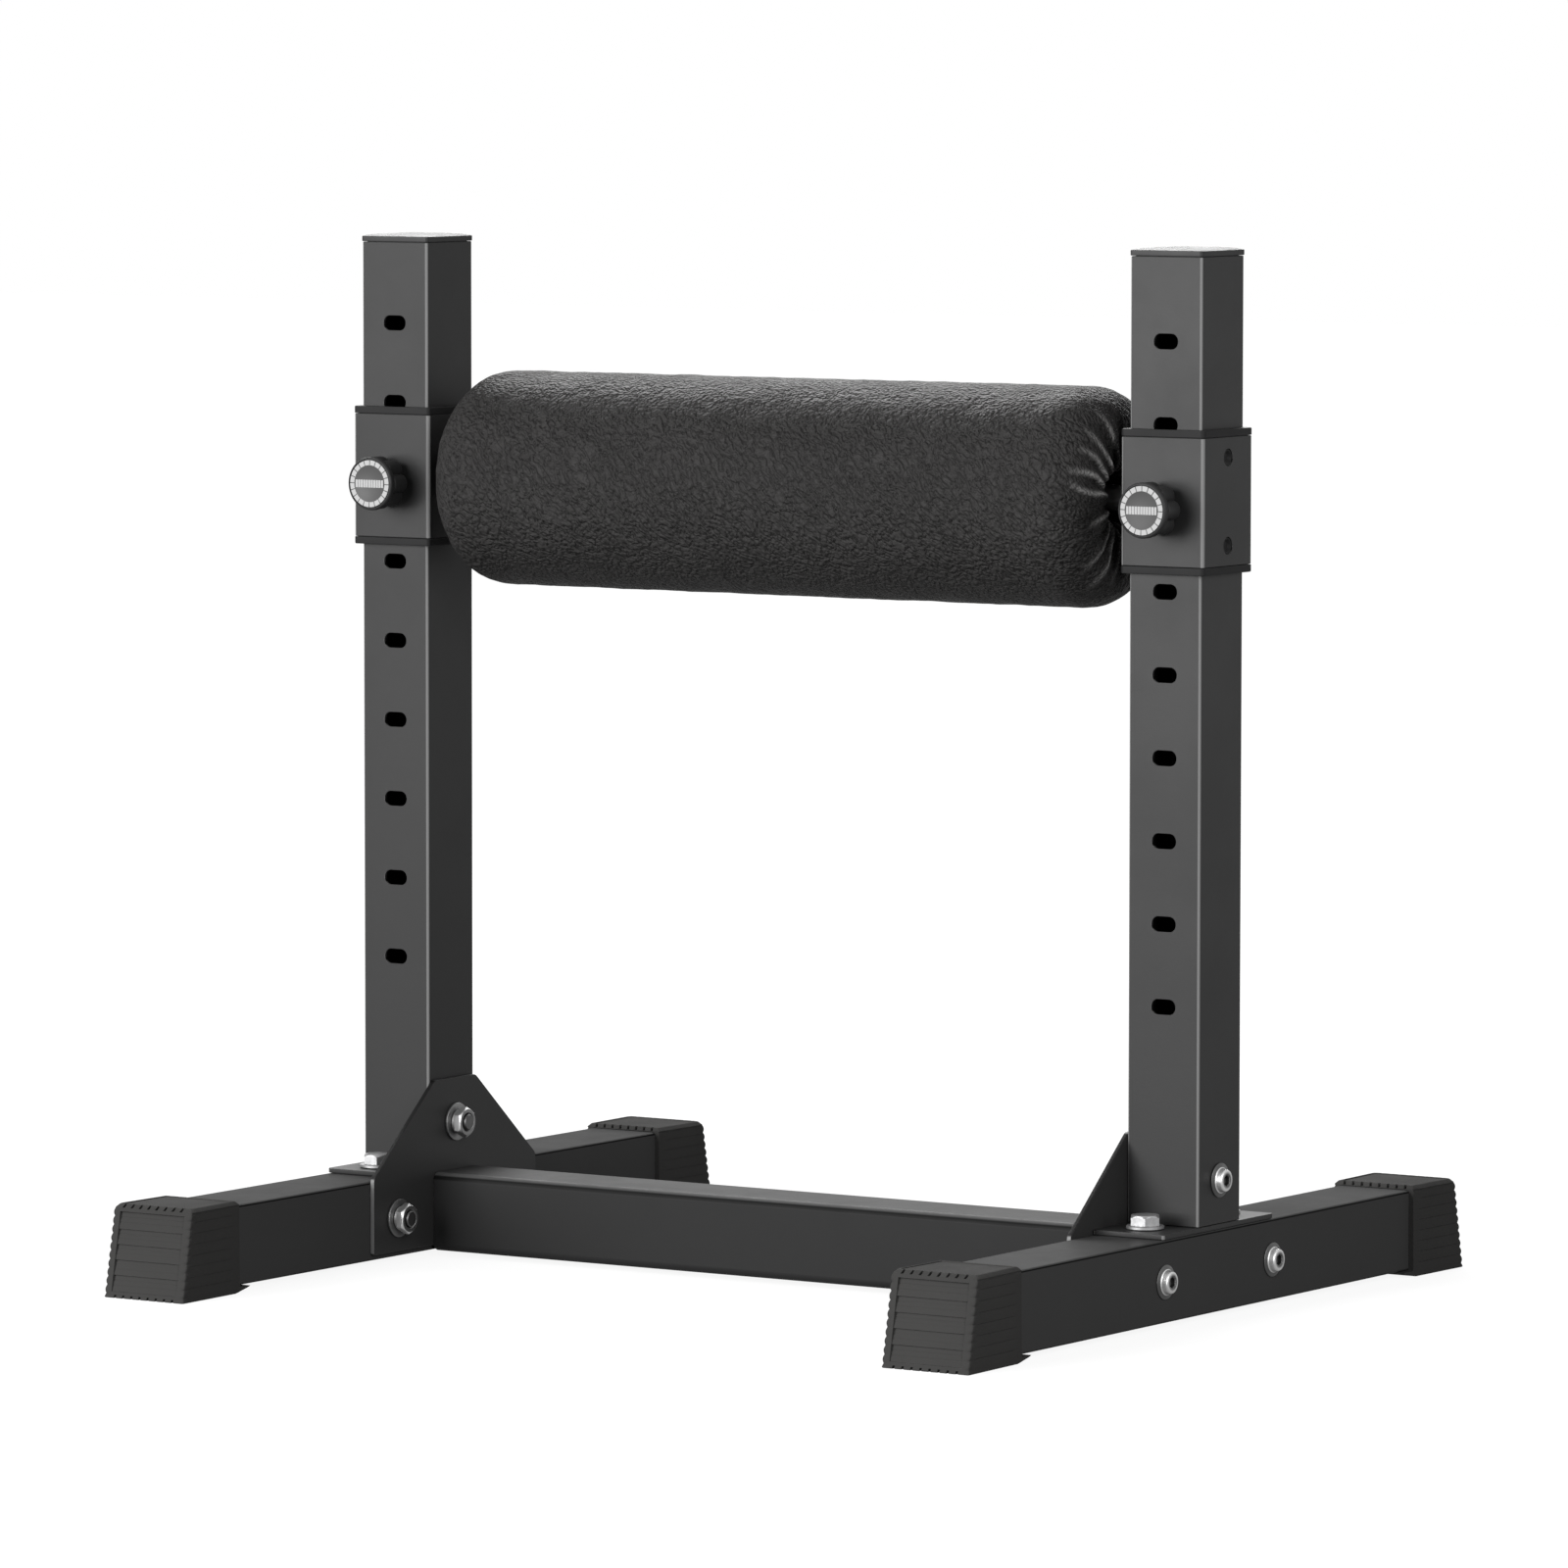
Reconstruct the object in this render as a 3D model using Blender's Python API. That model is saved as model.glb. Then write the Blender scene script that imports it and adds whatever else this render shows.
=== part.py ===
# Split squat stand: a floor frame with two slotted posts, and a padded roller that
# slides up and down them on two sleeves, held at each height by spring pull pins.
# The origin is on the floor, midway between the posts. X runs along the roller,
# the pull pins face -Y and Z is up. All sizes are in metres.

import math

import bmesh
import bpy
from mathutils import Vector

# Clearances
fit_gap = 0.0003                # between two pieces that touch
bolt_play = 0.0005              # round a bolt in its hole
cut_margin = 0.005              # how far a cut runs past a face

# Frame tubes
tube_size = 0.050
tube_wall = 0.002
tube_corner = 0.0025
cross_tube_corner = 0.004
post_spacing = 0.5646           # between the middles of the posts
stand_height = 0.6455           # floor to the top of the post caps
base_tube_length = 0.555

# Rubber feet
foot_sole = 0.004               # rubber under the tube
foot_roof = 0.003               # rubber over the tube
foot_cheek = 0.0029             # rubber beside the tube, at its top
foot_grip = 0.0457              # length of tube in a foot
foot_end = 0.0049               # rubber past the tube's end, at its top
foot_toe = 0.0106               # how much further a foot reaches at the floor
foot_flare = 0.0004             # how much wider each side is at the floor
foot_spread = 0.0016            # how much wider each side is at the foot's end
foot_corner = 0.002

# Cross tube's end plates
flange_thick = 0.003
flange_width = 0.1785
flange_top_width = 0.045
flange_inset = 0.0037           # its lower edge over the base tube's underside
flange_shoulder_rise = 0.0015   # its shoulders over the base tube's top
flange_rise = 0.058             # its top over the base tube's top

# Post foot plates
plate_thick = 0.003
plate_length = 0.130
plate_bolt_spacing = 0.090

# Post caps
cap_lip = 0.005
cap_overhang = 0.0005
cap_depth = 0.014
cap_wall = 0.002
cap_rise = 0.0015
cap_peak = 0.025                # flat middle of the raised top

# Height slots
slot_pitch = 0.050
lowest_slot = 0.1895
slot_top_margin = 0.045         # least distance from a slot's middle to the post's top
slot_width = 0.017
slot_play = 0.0013              # slot's height over the pin's diameter
slot_end_flat = 0.0001          # straight stretch at a slot's end
slots_above_pin = 2             # slots over the one that the pins rest in

# Frame bolts
bolt_radius = 0.005
bolt_head_radius = 0.0105
bolt_head_height = 0.0055
bolt_head_rim = 0.0016
bolt_dome_radius = 0.009        # halfway up the head
bolt_crown_radius = 0.0053      # flat top round the socket
socket_width = 0.006            # across flats
socket_depth = 0.003
base_bolt_spacing = 0.1266
post_bolt_rise = 0.030          # over the base tube's top
washer_radius = 0.012
washer_thick = 0.0015
nut_width = 0.017               # across flats
nut_height = 0.0075
hexagon_chamfer = 0.0012
bolt_tail = 0.0012              # thread that shows past a nut
plate_head_height = 0.0064
plate_washer_radius = 0.0115
plate_washer_thick = 0.002
plate_shank = 0.018

# Sleeves and their plastic liners
sleeve_wall = 0.002
liner_room = 0.002              # between a post and the sleeve round it
sleeve_corner = 0.003
sleeve_height = 0.087           # with the liners' lips
sleeve_above_pin = 0.004        # sleeve's middle over the pull pin
lip_height = 0.0045
lip_overhang = 0.0002
liner_clear = 0.003             # between a liner's end and the pull pin
nub_radius = 0.005
nub_inset = 0.017               # from the liner's mouth
nub_rise = 0.0004
collar_radius = 0.013
collar_length = 0.009
screw_recess = 0.0005           # below the collar's surface
screw_radius = 0.0025

# Roller
bar_radius = 0.008
core_radius = 0.016
core_wall = 0.002
core_inset = 0.020              # its ends behind the pad's ends
bush_play = 0.0003
bush_depth = 0.020
bush_flange = 0.002
pad_radius = 0.0683
pad_end_gap = 0.0135            # between the pad and a sleeve
pad_round = 0.029               # radius of the pad's outer edges
pad_crown_radius = 0.030        # where the gathered end stands furthest out
pad_mouth_depth = 0.013         # how far the hole's mouth lies behind that

# Pull pins. Distances run forward from the posts' middle plane.
pin_radius = 0.004
pin_clear = 0.0004              # pin's tip to the post, at rest
pin_chamfer = 0.0006
push_travel = 0.004             # into the slot
pull_travel = 0.0055            # out of it
pin_collar_step = 0.0012        # how much wider the collar is than the tip
pin_collar_length = 0.0015
pin_collar_play = 0.0005        # collar to the sleeve's face, pushed in
stem_radius = 0.0024
barrel_wall = 0.0018
barrel_flange_step = 0.002      # how much wider its flange is
barrel_flange_thick = 0.002
barrel_end_wall = 0.0016
chamber_play = 0.0005           # round the pin's collar
spring_play = 0.0009            # round the spring
spring_wire = 0.0004            # the wire's radius
spring_turns = 3
knob_length = 0.019
knob_radius = 0.0168
knob_rim_length = 0.0045
knob_lobes = 7
knob_lobe_depth = 0.0018
knob_chamfer = 0.0006
knob_front_wall = 0.0023
disc_radius = 0.015
disc_thick = 0.0009

# Facets
fine = 28                       # round a knob
medium = 16                     # round a bar, barrel or pin
coarse = 12                     # round a bolt, which also carries a hexagon
corner_steps = 2                # along a tube's rounded corner
slot_end_steps = 4              # along each quarter of a slot's round end
pad_facets = 24                 # round the pad
pad_lip_steps = 4               # from the hole's mouth to the gathered end
pad_edge_steps = 5              # over the pad's round edge
coil_steps = 12                 # round one turn of a spring
wire_sides = 5
sharp_angle = 35                # degrees, above which an edge is drawn sharp

# Places that follow from the sizes above
post_x = post_spacing / 2
base_bottom = foot_sole
base_middle = base_bottom + tube_size / 2
base_top = base_bottom + tube_size
plate_bottom = base_top + fit_gap
post_bottom = plate_bottom + plate_thick + fit_gap
post_top = stand_height - cap_lip - fit_gap
post_bolt_height = base_top + post_bolt_rise
slot_height = 2 * pin_radius + slot_play
slot_count = 1 + int((post_top - slot_top_margin - lowest_slot) / slot_pitch)
pin_height = lowest_slot + slot_pitch * (slot_count - 1 - slots_above_pin)
sleeve_middle = pin_height + sleeve_above_pin
sleeve_size = tube_size + 2 * (liner_room + sleeve_wall)
flange_outer = post_x - tube_size / 2 - fit_gap
flange_inner = flange_outer - flange_thick
pad_length = 2 * (post_x - sleeve_size / 2 - pad_end_gap)
core_length = pad_length - 2 * core_inset
pin_collar_radius = pin_radius + pin_collar_step
chamber_radius = pin_collar_radius + chamber_play
spring_radius = chamber_radius - spring_play - spring_wire
barrel_radius = chamber_radius + barrel_wall
barrel_flange_radius = barrel_radius + barrel_flange_step
sides = {"left": -1, "right": 1}
ends = {"front": -1, "back": 1}

finishes = {
    "powder coat": ((0.035, 0.035, 0.036), 0.38, 0.0),
    "rubber": ((0.032, 0.032, 0.032), 0.72, 0.0),
    "plastic": ((0.022, 0.022, 0.023), 0.5, 0.0),
    "zinc": ((0.72, 0.72, 0.74), 0.18, 1.0),
    "leatherette": ((0.026, 0.026, 0.025), 0.55, 0.0),
    "spring steel": ((0.55, 0.55, 0.57), 0.3, 1.0),
    "knob face": ((0.11, 0.11, 0.11), 0.45, 0.0),
}


def clear_scene():
    for obj in list(bpy.data.objects):
        bpy.data.objects.remove(obj, do_unlink=True)


def material(name):
    """The Principled material of one finish, made on first use."""
    found = bpy.data.materials.get(name)
    if found:
        return found
    color, roughness, metallic = finishes[name]
    made = bpy.data.materials.new(name)
    made.use_nodes = True
    shader = made.node_tree.nodes["Principled BSDF"]
    shader.inputs["Base Color"].default_value = (*color, 1)
    shader.inputs["Roughness"].default_value = roughness
    shader.inputs["Metallic"].default_value = metallic
    return made


def polar(radius_at, count):
    """Outline from a radius that is a function of the angle."""
    angles = [math.tau * i / count for i in range(count)]
    return [(radius_at(a) * math.cos(a), radius_at(a) * math.sin(a)) for a in angles]


def circle(radius, count=medium):
    return polar(lambda angle: radius, count)


def hexagon(across_flats, count=coarse):
    sector = math.tau / 6

    def radius_at(angle):
        return across_flats / 2 / math.cos(angle % sector - sector / 2)

    return polar(radius_at, count)


def lobed(radius, depth, lobes, count=fine):
    return polar(lambda angle: radius - depth * (0.5 - 0.5 * math.cos(lobes * angle)), count)


def rounded_rectangle(width, depth, radius, middle=0.0, steps=corner_steps):
    """Outline width by depth with round corners, its centre at (0, middle)."""
    points = []
    for corner in range(4):
        start = math.tau / 4 * corner
        across = (width / 2 - radius) * (1 if corner in (0, 3) else -1)
        along = (depth / 2 - radius) * (1 if corner in (0, 1) else -1)
        for step in range(steps + 1):
            angle = start + math.tau / 4 * step / steps
            x = across + radius * math.cos(angle)
            y = along + radius * math.sin(angle)
            points.append((x, middle + y))
    return points


def square(size, radius):
    return rounded_rectangle(size, size, radius)


def loft(sections, ring=False):
    """Closed body through (outline, height) sections, all with as many points.
    A ring joins its last section to its first instead of capping both."""
    bm = bmesh.new()
    loops = [[bm.verts.new((x, y, height)) for x, y in outline] for outline, height in sections]
    pairs = list(zip(loops, loops[1:]))
    if ring:
        pairs.append((loops[-1], loops[0]))
    else:
        bm.faces.new(loops[0])
        bm.faces.new(loops[-1])
    for low, high in pairs:
        for i in range(len(low)):
            j = (i + 1) % len(low)
            bm.faces.new((low[i], low[j], high[j], high[i]))
    bmesh.ops.recalc_face_normals(bm, faces=bm.faces)
    return bm


def extrude(outline, length):
    return loft([(outline, -length / 2), (outline, length / 2)])


def pipe(outer, inner, low, high):
    return loft([(outer, low), (outer, high), (inner, high), (inner, low)], ring=True)


def turning(direction):
    """Rotation that turns a body's own Z to this direction."""
    return Vector((0, 0, 1)).rotation_difference(Vector(direction)).to_euler()


def add(name, bm, finish, location=(0, 0, 0), toward=(0, 0, 1), body=None):
    """One named piece, its own Z turned toward a direction, carried by a body's empty."""
    mesh = bpy.data.meshes.new(name)
    bm.to_mesh(mesh)
    bm.free()
    mesh.materials.append(material(finish))
    mesh.shade_smooth()
    mesh.set_sharp_from_angle(angle=math.radians(sharp_angle))
    obj = bpy.data.objects.new(name, mesh)
    bpy.context.collection.objects.link(obj)
    start = Vector((0, 0, 0))
    if body:
        obj.parent = body
        start = body["place"]
    obj.location = Vector(location) - Vector(start)
    obj.rotation_euler = turning(toward)
    return obj


def tool(target, operation, bm, location, toward=(0, 0, 1)):
    """Cuts a hidden shape from a piece, or joins it to the piece."""
    number = len(target.modifiers) + 1
    shape = add(f"{target.name}_shape_{number}", bm, "plastic", location, toward)
    shape.hide_render = True
    shape.display_type = "WIRE"
    change = target.modifiers.new(f"{operation.lower()} {number}", "BOOLEAN")
    change.operation = operation
    change.solver = "EXACT"
    change.object = shape


def add_body(name, place):
    """The empty that carries the pieces of one moving body, on its joint's axis."""
    empty = bpy.data.objects.new(name, None)
    bpy.context.collection.objects.link(empty)
    empty.location = place
    empty["place"] = place
    return empty


def drill(target, radius, depth, location, toward):
    """Round hole, its middle at the location, that runs past both ends of its depth."""
    cutter = extrude(circle(radius), depth + 2 * cut_margin)
    tool(target, "DIFFERENCE", cutter, location, toward)


def make_base_tube(side, sign):
    outer = square(tube_size, tube_corner)
    inner = square(tube_size - 2 * tube_wall, tube_corner - tube_wall)
    half = base_tube_length / 2
    at = (sign * post_x, 0, base_middle)
    tube = add(f"base_tube_{side}", pipe(outer, inner, -half, half), "powder coat", at, (0, 1, 0))
    hole = bolt_radius + bolt_play
    for end in ends.values():
        along = end * base_bolt_spacing / 2
        drill(tube, hole, tube_size, (sign * post_x, along, base_middle), (1, 0, 0))
        along = end * plate_bolt_spacing / 2
        drill(tube, hole, tube_wall, (sign * post_x, along, base_top), (0, 0, 1))


def foot_outline(width, length, mouth, direction):
    """Outline from a foot's mouth to its end, where both sides stand further out."""
    points = []
    for x, y in rounded_rectangle(width, length, foot_corner, direction * (mouth + length / 2)):
        part = (direction * y - mouth) / length
        points.append((x * (1 + 2 * foot_spread * part / width), y))
    return points


def make_foot(side, sign, end, direction):
    """Rubber boot round a tube's end, longer and wider at the floor than at its top."""
    width = tube_size + 2 * (fit_gap + foot_cheek)
    length = foot_grip + foot_end
    tube_end = base_tube_length / 2
    mouth = tube_end - foot_grip
    top = foot_outline(width, length, mouth, direction)
    floor = foot_outline(width + 2 * foot_flare, length + foot_toe, mouth, direction)
    shape = loft([(floor, 0), (top, base_top + foot_roof)])
    foot = add(f"foot_{end}_{side}", shape, "rubber", (sign * post_x, 0, 0))
    room = square(tube_size + 2 * fit_gap, tube_corner)
    reach = foot_grip + fit_gap + cut_margin
    middle = direction * (tube_end + fit_gap - reach / 2)
    at = (sign * post_x, middle, base_middle)
    tool(foot, "DIFFERENCE", extrude(room, reach), at, (0, 1, 0))


def make_cross_tube():
    outer = square(tube_size, cross_tube_corner)
    inner = square(tube_size - 2 * tube_wall, cross_tube_corner - tube_wall)
    half = flange_inner - fit_gap
    add("cross_tube", pipe(outer, inner, -half, half), "powder coat", (0, 0, base_middle), (1, 0, 0))


def make_flange(side, sign):
    """Trapezium plate between the cross tube and one side of the frame."""
    wide, narrow = flange_width / 2, flange_top_width / 2
    bottom = base_bottom + flange_inset
    shoulder = base_top + flange_shoulder_rise
    right = [(wide, bottom), (wide, shoulder), (narrow, base_top + flange_rise)]
    left = [(-y, z) for y, z in reversed(right)]
    bm = bmesh.new()
    corners = [bm.verts.new((0, y, z)) for y, z in right + left]
    face = bm.faces.new(corners)
    grown = bmesh.ops.extrude_face_region(bm, geom=[face])
    moved = [item for item in grown["geom"] if isinstance(item, bmesh.types.BMVert)]
    bmesh.ops.translate(bm, verts=moved, vec=(flange_thick, 0, 0))
    bmesh.ops.recalc_face_normals(bm, faces=bm.faces)
    near = min(sign * flange_inner, sign * flange_outer)
    plate = add(f"cross_flange_{side}", bm, "powder coat", (near, 0, 0))
    for y, z in frame_bolt_places():
        at = (sign * (flange_inner + flange_thick / 2), y, z)
        drill(plate, bolt_radius + bolt_play, flange_thick, at, (1, 0, 0))


def frame_bolt_places():
    """Y and Z of the three bolts on each side: two in the base tube, one in the post."""
    spread = base_bolt_spacing / 2
    return [(-spread, base_middle), (spread, base_middle), (0, post_bolt_height)]


def make_post(side, sign):
    outer = square(tube_size, tube_corner)
    inner = square(tube_size - 2 * tube_wall, tube_corner - tube_wall)
    x = sign * post_x
    post = add(f"upright_{side}", pipe(outer, inner, post_bottom, post_top), "powder coat", (x, 0, 0))
    drill(post, bolt_radius + bolt_play, tube_size, (x, 0, post_bolt_height), (1, 0, 0))
    corner = (slot_height - slot_end_flat) / 2
    slot = rounded_rectangle(slot_width, slot_height, corner, steps=slot_end_steps)
    for number in range(slot_count):
        at = (x, -tube_size / 2, lowest_slot + slot_pitch * number)
        tool(post, "DIFFERENCE", extrude(slot, 2 * cut_margin), at, (0, -1, 0))


def make_foot_plate(side, sign):
    outline = rounded_rectangle(tube_size, plate_length, tube_corner)
    at = (sign * post_x, 0, plate_bottom + plate_thick / 2)
    plate = add(f"upright_foot_plate_{side}", extrude(outline, plate_thick), "powder coat", at)
    for end in ends.values():
        at = (sign * post_x, end * plate_bolt_spacing / 2, plate_bottom)
        drill(plate, bolt_radius + bolt_play, plate_thick, at, (0, 0, 1))


def make_cap(side, sign):
    """Plastic plug with a lip over the post's edge and a slightly raised top."""
    inside = tube_size - 2 * tube_wall - 2 * fit_gap
    lip = square(tube_size + 2 * cap_overhang, tube_corner)
    skirt = square(inside, tube_corner - tube_wall)
    hollow = square(inside - 2 * cap_wall, tube_corner - tube_wall)
    peak = square(cap_peak, tube_corner)
    lip_bottom = stand_height - cap_lip
    bottom = post_top - cap_depth
    sections = [
        (hollow, lip_bottom),
        (hollow, bottom),
        (skirt, bottom),
        (skirt, lip_bottom),
        (lip, lip_bottom),
        (lip, stand_height - cap_rise),
        (peak, stand_height),
    ]
    add(f"upright_cap_{side}", loft(sections), "plastic", (sign * post_x, 0, 0))


def make_frame_bolt(name, at, outward, grip):
    """Button-head bolt with a hexagon socket. Its own Z points out of the head."""
    shank = circle(bolt_radius, coarse)
    rim = circle(bolt_head_radius, coarse)
    dome = circle(bolt_dome_radius, coarse)
    crown = circle(bolt_crown_radius, coarse)
    socket = hexagon(socket_width)
    sections = [
        (shank, -grip),
        (shank, fit_gap),
        (rim, fit_gap),
        (rim, bolt_head_rim),
        (dome, (bolt_head_rim + bolt_head_height) / 2),
        (crown, bolt_head_height),
        (socket, bolt_head_height),
        (socket, bolt_head_height - socket_depth),
    ]
    add(name, loft(sections), "zinc", at, outward)


def make_nut(name, at, outward):
    hole = circle(bolt_radius + fit_gap, coarse)
    flats = hexagon(nut_width)
    chamfer = circle(nut_width / 2, coarse)
    sections = [
        (flats, 0),
        (flats, nut_height - hexagon_chamfer),
        (chamfer, nut_height),
        (hole, nut_height),
        (hole, 0),
    ]
    add(name, loft(sections, ring=True), "zinc", at, outward)


def make_washer(name, at, outward):
    outer = circle(washer_radius, coarse)
    inner = circle(bolt_radius + fit_gap, coarse)
    add(name, pipe(outer, inner, 0, washer_thick), "zinc", at, outward)


def make_frame_fasteners(side, sign):
    """Bolts in from the outside, with a washer and a nut on the end plate's inner face."""
    outside = post_x + tube_size / 2
    washer_seat = flange_inner - fit_gap
    nut_seat = washer_seat - washer_thick - fit_gap
    grip = outside - nut_seat + nut_height + bolt_tail
    for place, (y, z) in zip(("front", "back", "post"), frame_bolt_places()):
        outward, inward = (sign, 0, 0), (-sign, 0, 0)
        make_frame_bolt(f"flange_bolt_{place}_{side}", (sign * outside, y, z), outward, grip)
        make_washer(f"flange_washer_{place}_{side}", (sign * washer_seat, y, z), inward)
        make_nut(f"flange_nut_{place}_{side}", (sign * nut_seat, y, z), inward)


def make_plate_bolts(side, sign):
    """Hexagon bolts with a washer face, down through the foot plate into the base tube."""
    seat = plate_bottom + plate_thick + fit_gap
    shank = circle(bolt_radius, coarse)
    washer = circle(plate_washer_radius, coarse)
    head = hexagon(nut_width)
    chamfer = circle(nut_width / 2, coarse)
    head_top = plate_washer_thick + plate_head_height
    sections = [
        (shank, -plate_shank),
        (shank, 0),
        (washer, 0),
        (washer, plate_washer_thick),
        (head, plate_washer_thick),
        (head, head_top - hexagon_chamfer),
        (chamfer, head_top),
    ]
    for end, direction in ends.items():
        at = (sign * post_x, direction * plate_bolt_spacing / 2, seat)
        add(f"plate_bolt_{end}_{side}", loft(sections), "zinc", at)


def make_sleeve(side, sign, carriage):
    """Square sleeve with the pull pin's hole, two nub holes and the bar's welded collar."""
    outer = square(sleeve_size, sleeve_corner)
    inner = square(sleeve_size - 2 * sleeve_wall, sleeve_corner - sleeve_wall)
    half = sleeve_height / 2 - lip_height - fit_gap
    x = sign * post_x
    shape = pipe(outer, inner, -half, half)
    at = (x, 0, sleeve_middle)
    sleeve = add(f"sleeve_{side}", shape, "powder coat", at, body=carriage)
    face = post_x - sleeve_size / 2
    overlap = sleeve_wall / 2
    collar = extrude(circle(collar_radius), collar_length + overlap)
    middle = face + overlap - (collar_length + overlap) / 2
    tool(sleeve, "UNION", collar, (sign * middle, 0, sleeve_middle), (1, 0, 0))
    reach = collar_length + cut_margin
    bore = extrude(circle(bar_radius + fit_gap), reach)
    at = (sign * (face - reach / 2), 0, sleeve_middle)
    tool(sleeve, "DIFFERENCE", bore, at, (1, 0, 0))
    at = (sign * screw_place(), 0, sleeve_middle + (bar_radius + collar_radius) / 2)
    drill(sleeve, screw_radius + fit_gap, collar_radius - bar_radius, at, (0, 0, 1))
    at = (x, -sleeve_size / 2, pin_height)
    drill(sleeve, barrel_radius + fit_gap, sleeve_wall, at, (0, 1, 0))
    for up in (-1, 1):
        nub_height = sleeve_middle + up * (sleeve_height / 2 - nub_inset)
        at = (sign * (post_x + sleeve_size / 2), 0, nub_height)
        drill(sleeve, nub_radius + fit_gap, sleeve_wall, at, (1, 0, 0))


def screw_place():
    """Distance of the bar's set screws from the middle of the stand."""
    return post_x - sleeve_size / 2 - collar_length / 2


def make_liner(name, side, sign, up, carriage):
    """Half of a sleeve's plastic liner: a lip at the mouth, and a nub through the wall."""
    bore = square(tube_size + 2 * fit_gap, tube_corner + fit_gap)
    inside = sleeve_size - 2 * sleeve_wall - 2 * fit_gap
    wall = square(inside, sleeve_corner - sleeve_wall)
    lip = square(sleeve_size + 2 * lip_overhang, sleeve_corner)
    mouth = up * sleeve_height / 2
    seat = mouth - up * lip_height
    end = up * (sleeve_above_pin + pin_radius + liner_clear)
    sections = [(bore, end), (bore, mouth), (lip, mouth), (lip, seat), (wall, seat), (wall, end)]
    at = (sign * post_x, 0, sleeve_middle)
    shape = loft(sections, ring=True)
    liner = add(f"bushing_{name}_{side}", shape, "plastic", at, body=carriage)
    start = (tube_size + 2 * fit_gap + inside) / 4
    stop = sleeve_size / 2 + nub_rise
    at = (sign * (post_x + (start + stop) / 2), 0, sleeve_middle + mouth - up * nub_inset)
    tool(liner, "UNION", extrude(circle(nub_radius, coarse), stop - start), at, (1, 0, 0))


def make_bar(carriage):
    half = post_x - sleeve_size / 2 - fit_gap
    at = (0, 0, sleeve_middle)
    add("roller_bar", extrude(circle(bar_radius), 2 * half), "zinc", at, (1, 0, 0), carriage)


def make_bar_screw(side, sign, carriage):
    low = bar_radius + fit_gap
    high = collar_radius - screw_recess
    at = (sign * screw_place(), 0, sleeve_middle + (low + high) / 2)
    shape = extrude(circle(screw_radius, coarse), high - low)
    add(f"bar_screw_{side}", shape, "zinc", at, body=carriage)


def make_roller_core(roller):
    outer, inner = circle(core_radius), circle(core_radius - core_wall)
    half = core_length / 2
    at = (0, 0, sleeve_middle)
    add("roller_core", pipe(outer, inner, -half, half), "powder coat", at, (1, 0, 0), roller)


def make_roller_bush(side, sign, roller):
    """Plastic bush that centres the core on the bar. Its own Z points out of the roller."""
    hole = circle(bar_radius + bush_play)
    body_outline = circle(core_radius - core_wall - fit_gap)
    flange = circle(core_radius - fit_gap)
    sections = [
        (hole, -bush_depth),
        (body_outline, -bush_depth),
        (body_outline, fit_gap),
        (flange, fit_gap),
        (flange, bush_flange),
        (hole, bush_flange),
    ]
    at = (sign * core_length / 2, 0, sleeve_middle)
    shape = loft(sections, ring=True)
    add(f"roller_bush_{side}", shape, "plastic", at, (sign, 0, 0), roller)


def pad_half_profile():
    """Radius and distance from the middle, from the hole's mouth out to the straight side."""
    half = pad_length / 2
    hole = core_radius + fit_gap
    mouth = half - pad_mouth_depth
    points = []
    for step in range(pad_lip_steps + 1):
        angle = math.tau / 4 * step / pad_lip_steps
        radius = pad_crown_radius - (pad_crown_radius - hole) * math.cos(angle)
        points.append((radius, mouth + pad_mouth_depth * math.sin(angle)))
    for step in range(1, pad_edge_steps + 1):
        angle = math.tau / 4 * step / pad_edge_steps
        radius = pad_radius - pad_round + pad_round * math.sin(angle)
        points.append((radius, half - pad_round + pad_round * math.cos(angle)))
    return points


def make_roller_pad(roller):
    right = pad_half_profile()
    profile = right + [(radius, -place) for radius, place in reversed(right)]
    sections = [(circle(radius, pad_facets), place) for radius, place in profile]
    at = (0, 0, sleeve_middle)
    add("roller_pad", loft(sections, ring=True), "leatherette", at, (1, 0, 0), roller)


def pull_pin_places():
    """Distances in front of the posts' middle plane that the pull pin's pieces share."""
    sleeve_face = sleeve_size / 2
    collar_back = sleeve_face + push_travel + pin_collar_play
    collar_front = collar_back + pin_collar_length
    closed_spring = spring_turns * 2 * spring_wire
    chamber_end = collar_front + pull_travel + closed_spring + fit_gap
    barrel_end = chamber_end + barrel_end_wall
    bore_bottom = barrel_end + push_travel + fit_gap
    recess = bore_bottom + knob_front_wall
    return {
        "sleeve face": sleeve_face,
        "shoulder": collar_back - push_travel - fit_gap,
        "collar back": collar_back,
        "collar front": collar_front,
        "chamber end": chamber_end,
        "barrel end": barrel_end,
        "bore bottom": bore_bottom,
        "recess": recess,
        "knob face": recess + fit_gap + disc_thick,
    }


def make_barrel(side, sign, carriage):
    """Barrel that guides the pin through the sleeve's face and holds its spring."""
    place = pull_pin_places()
    guide = circle(pin_radius + fit_gap)
    chamber = circle(chamber_radius)
    stem_hole = circle(stem_radius + fit_gap)
    barrel = circle(barrel_radius)
    flange = circle(barrel_flange_radius)
    flange_back = place["sleeve face"] + fit_gap
    flange_front = flange_back + barrel_flange_thick
    sections = [
        (guide, place["sleeve face"] - sleeve_wall),
        (barrel, place["sleeve face"] - sleeve_wall),
        (barrel, flange_back),
        (flange, flange_back),
        (flange, flange_front),
        (barrel, flange_front),
        (barrel, place["barrel end"]),
        (stem_hole, place["barrel end"]),
        (stem_hole, place["chamber end"]),
        (chamber, place["chamber end"]),
        (chamber, place["shoulder"]),
        (guide, place["shoulder"]),
    ]
    at = (sign * post_x, 0, pin_height)
    shape = loft(sections, ring=True)
    add(f"pin_barrel_{side}", shape, "powder coat", at, (0, -1, 0), carriage)


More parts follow.
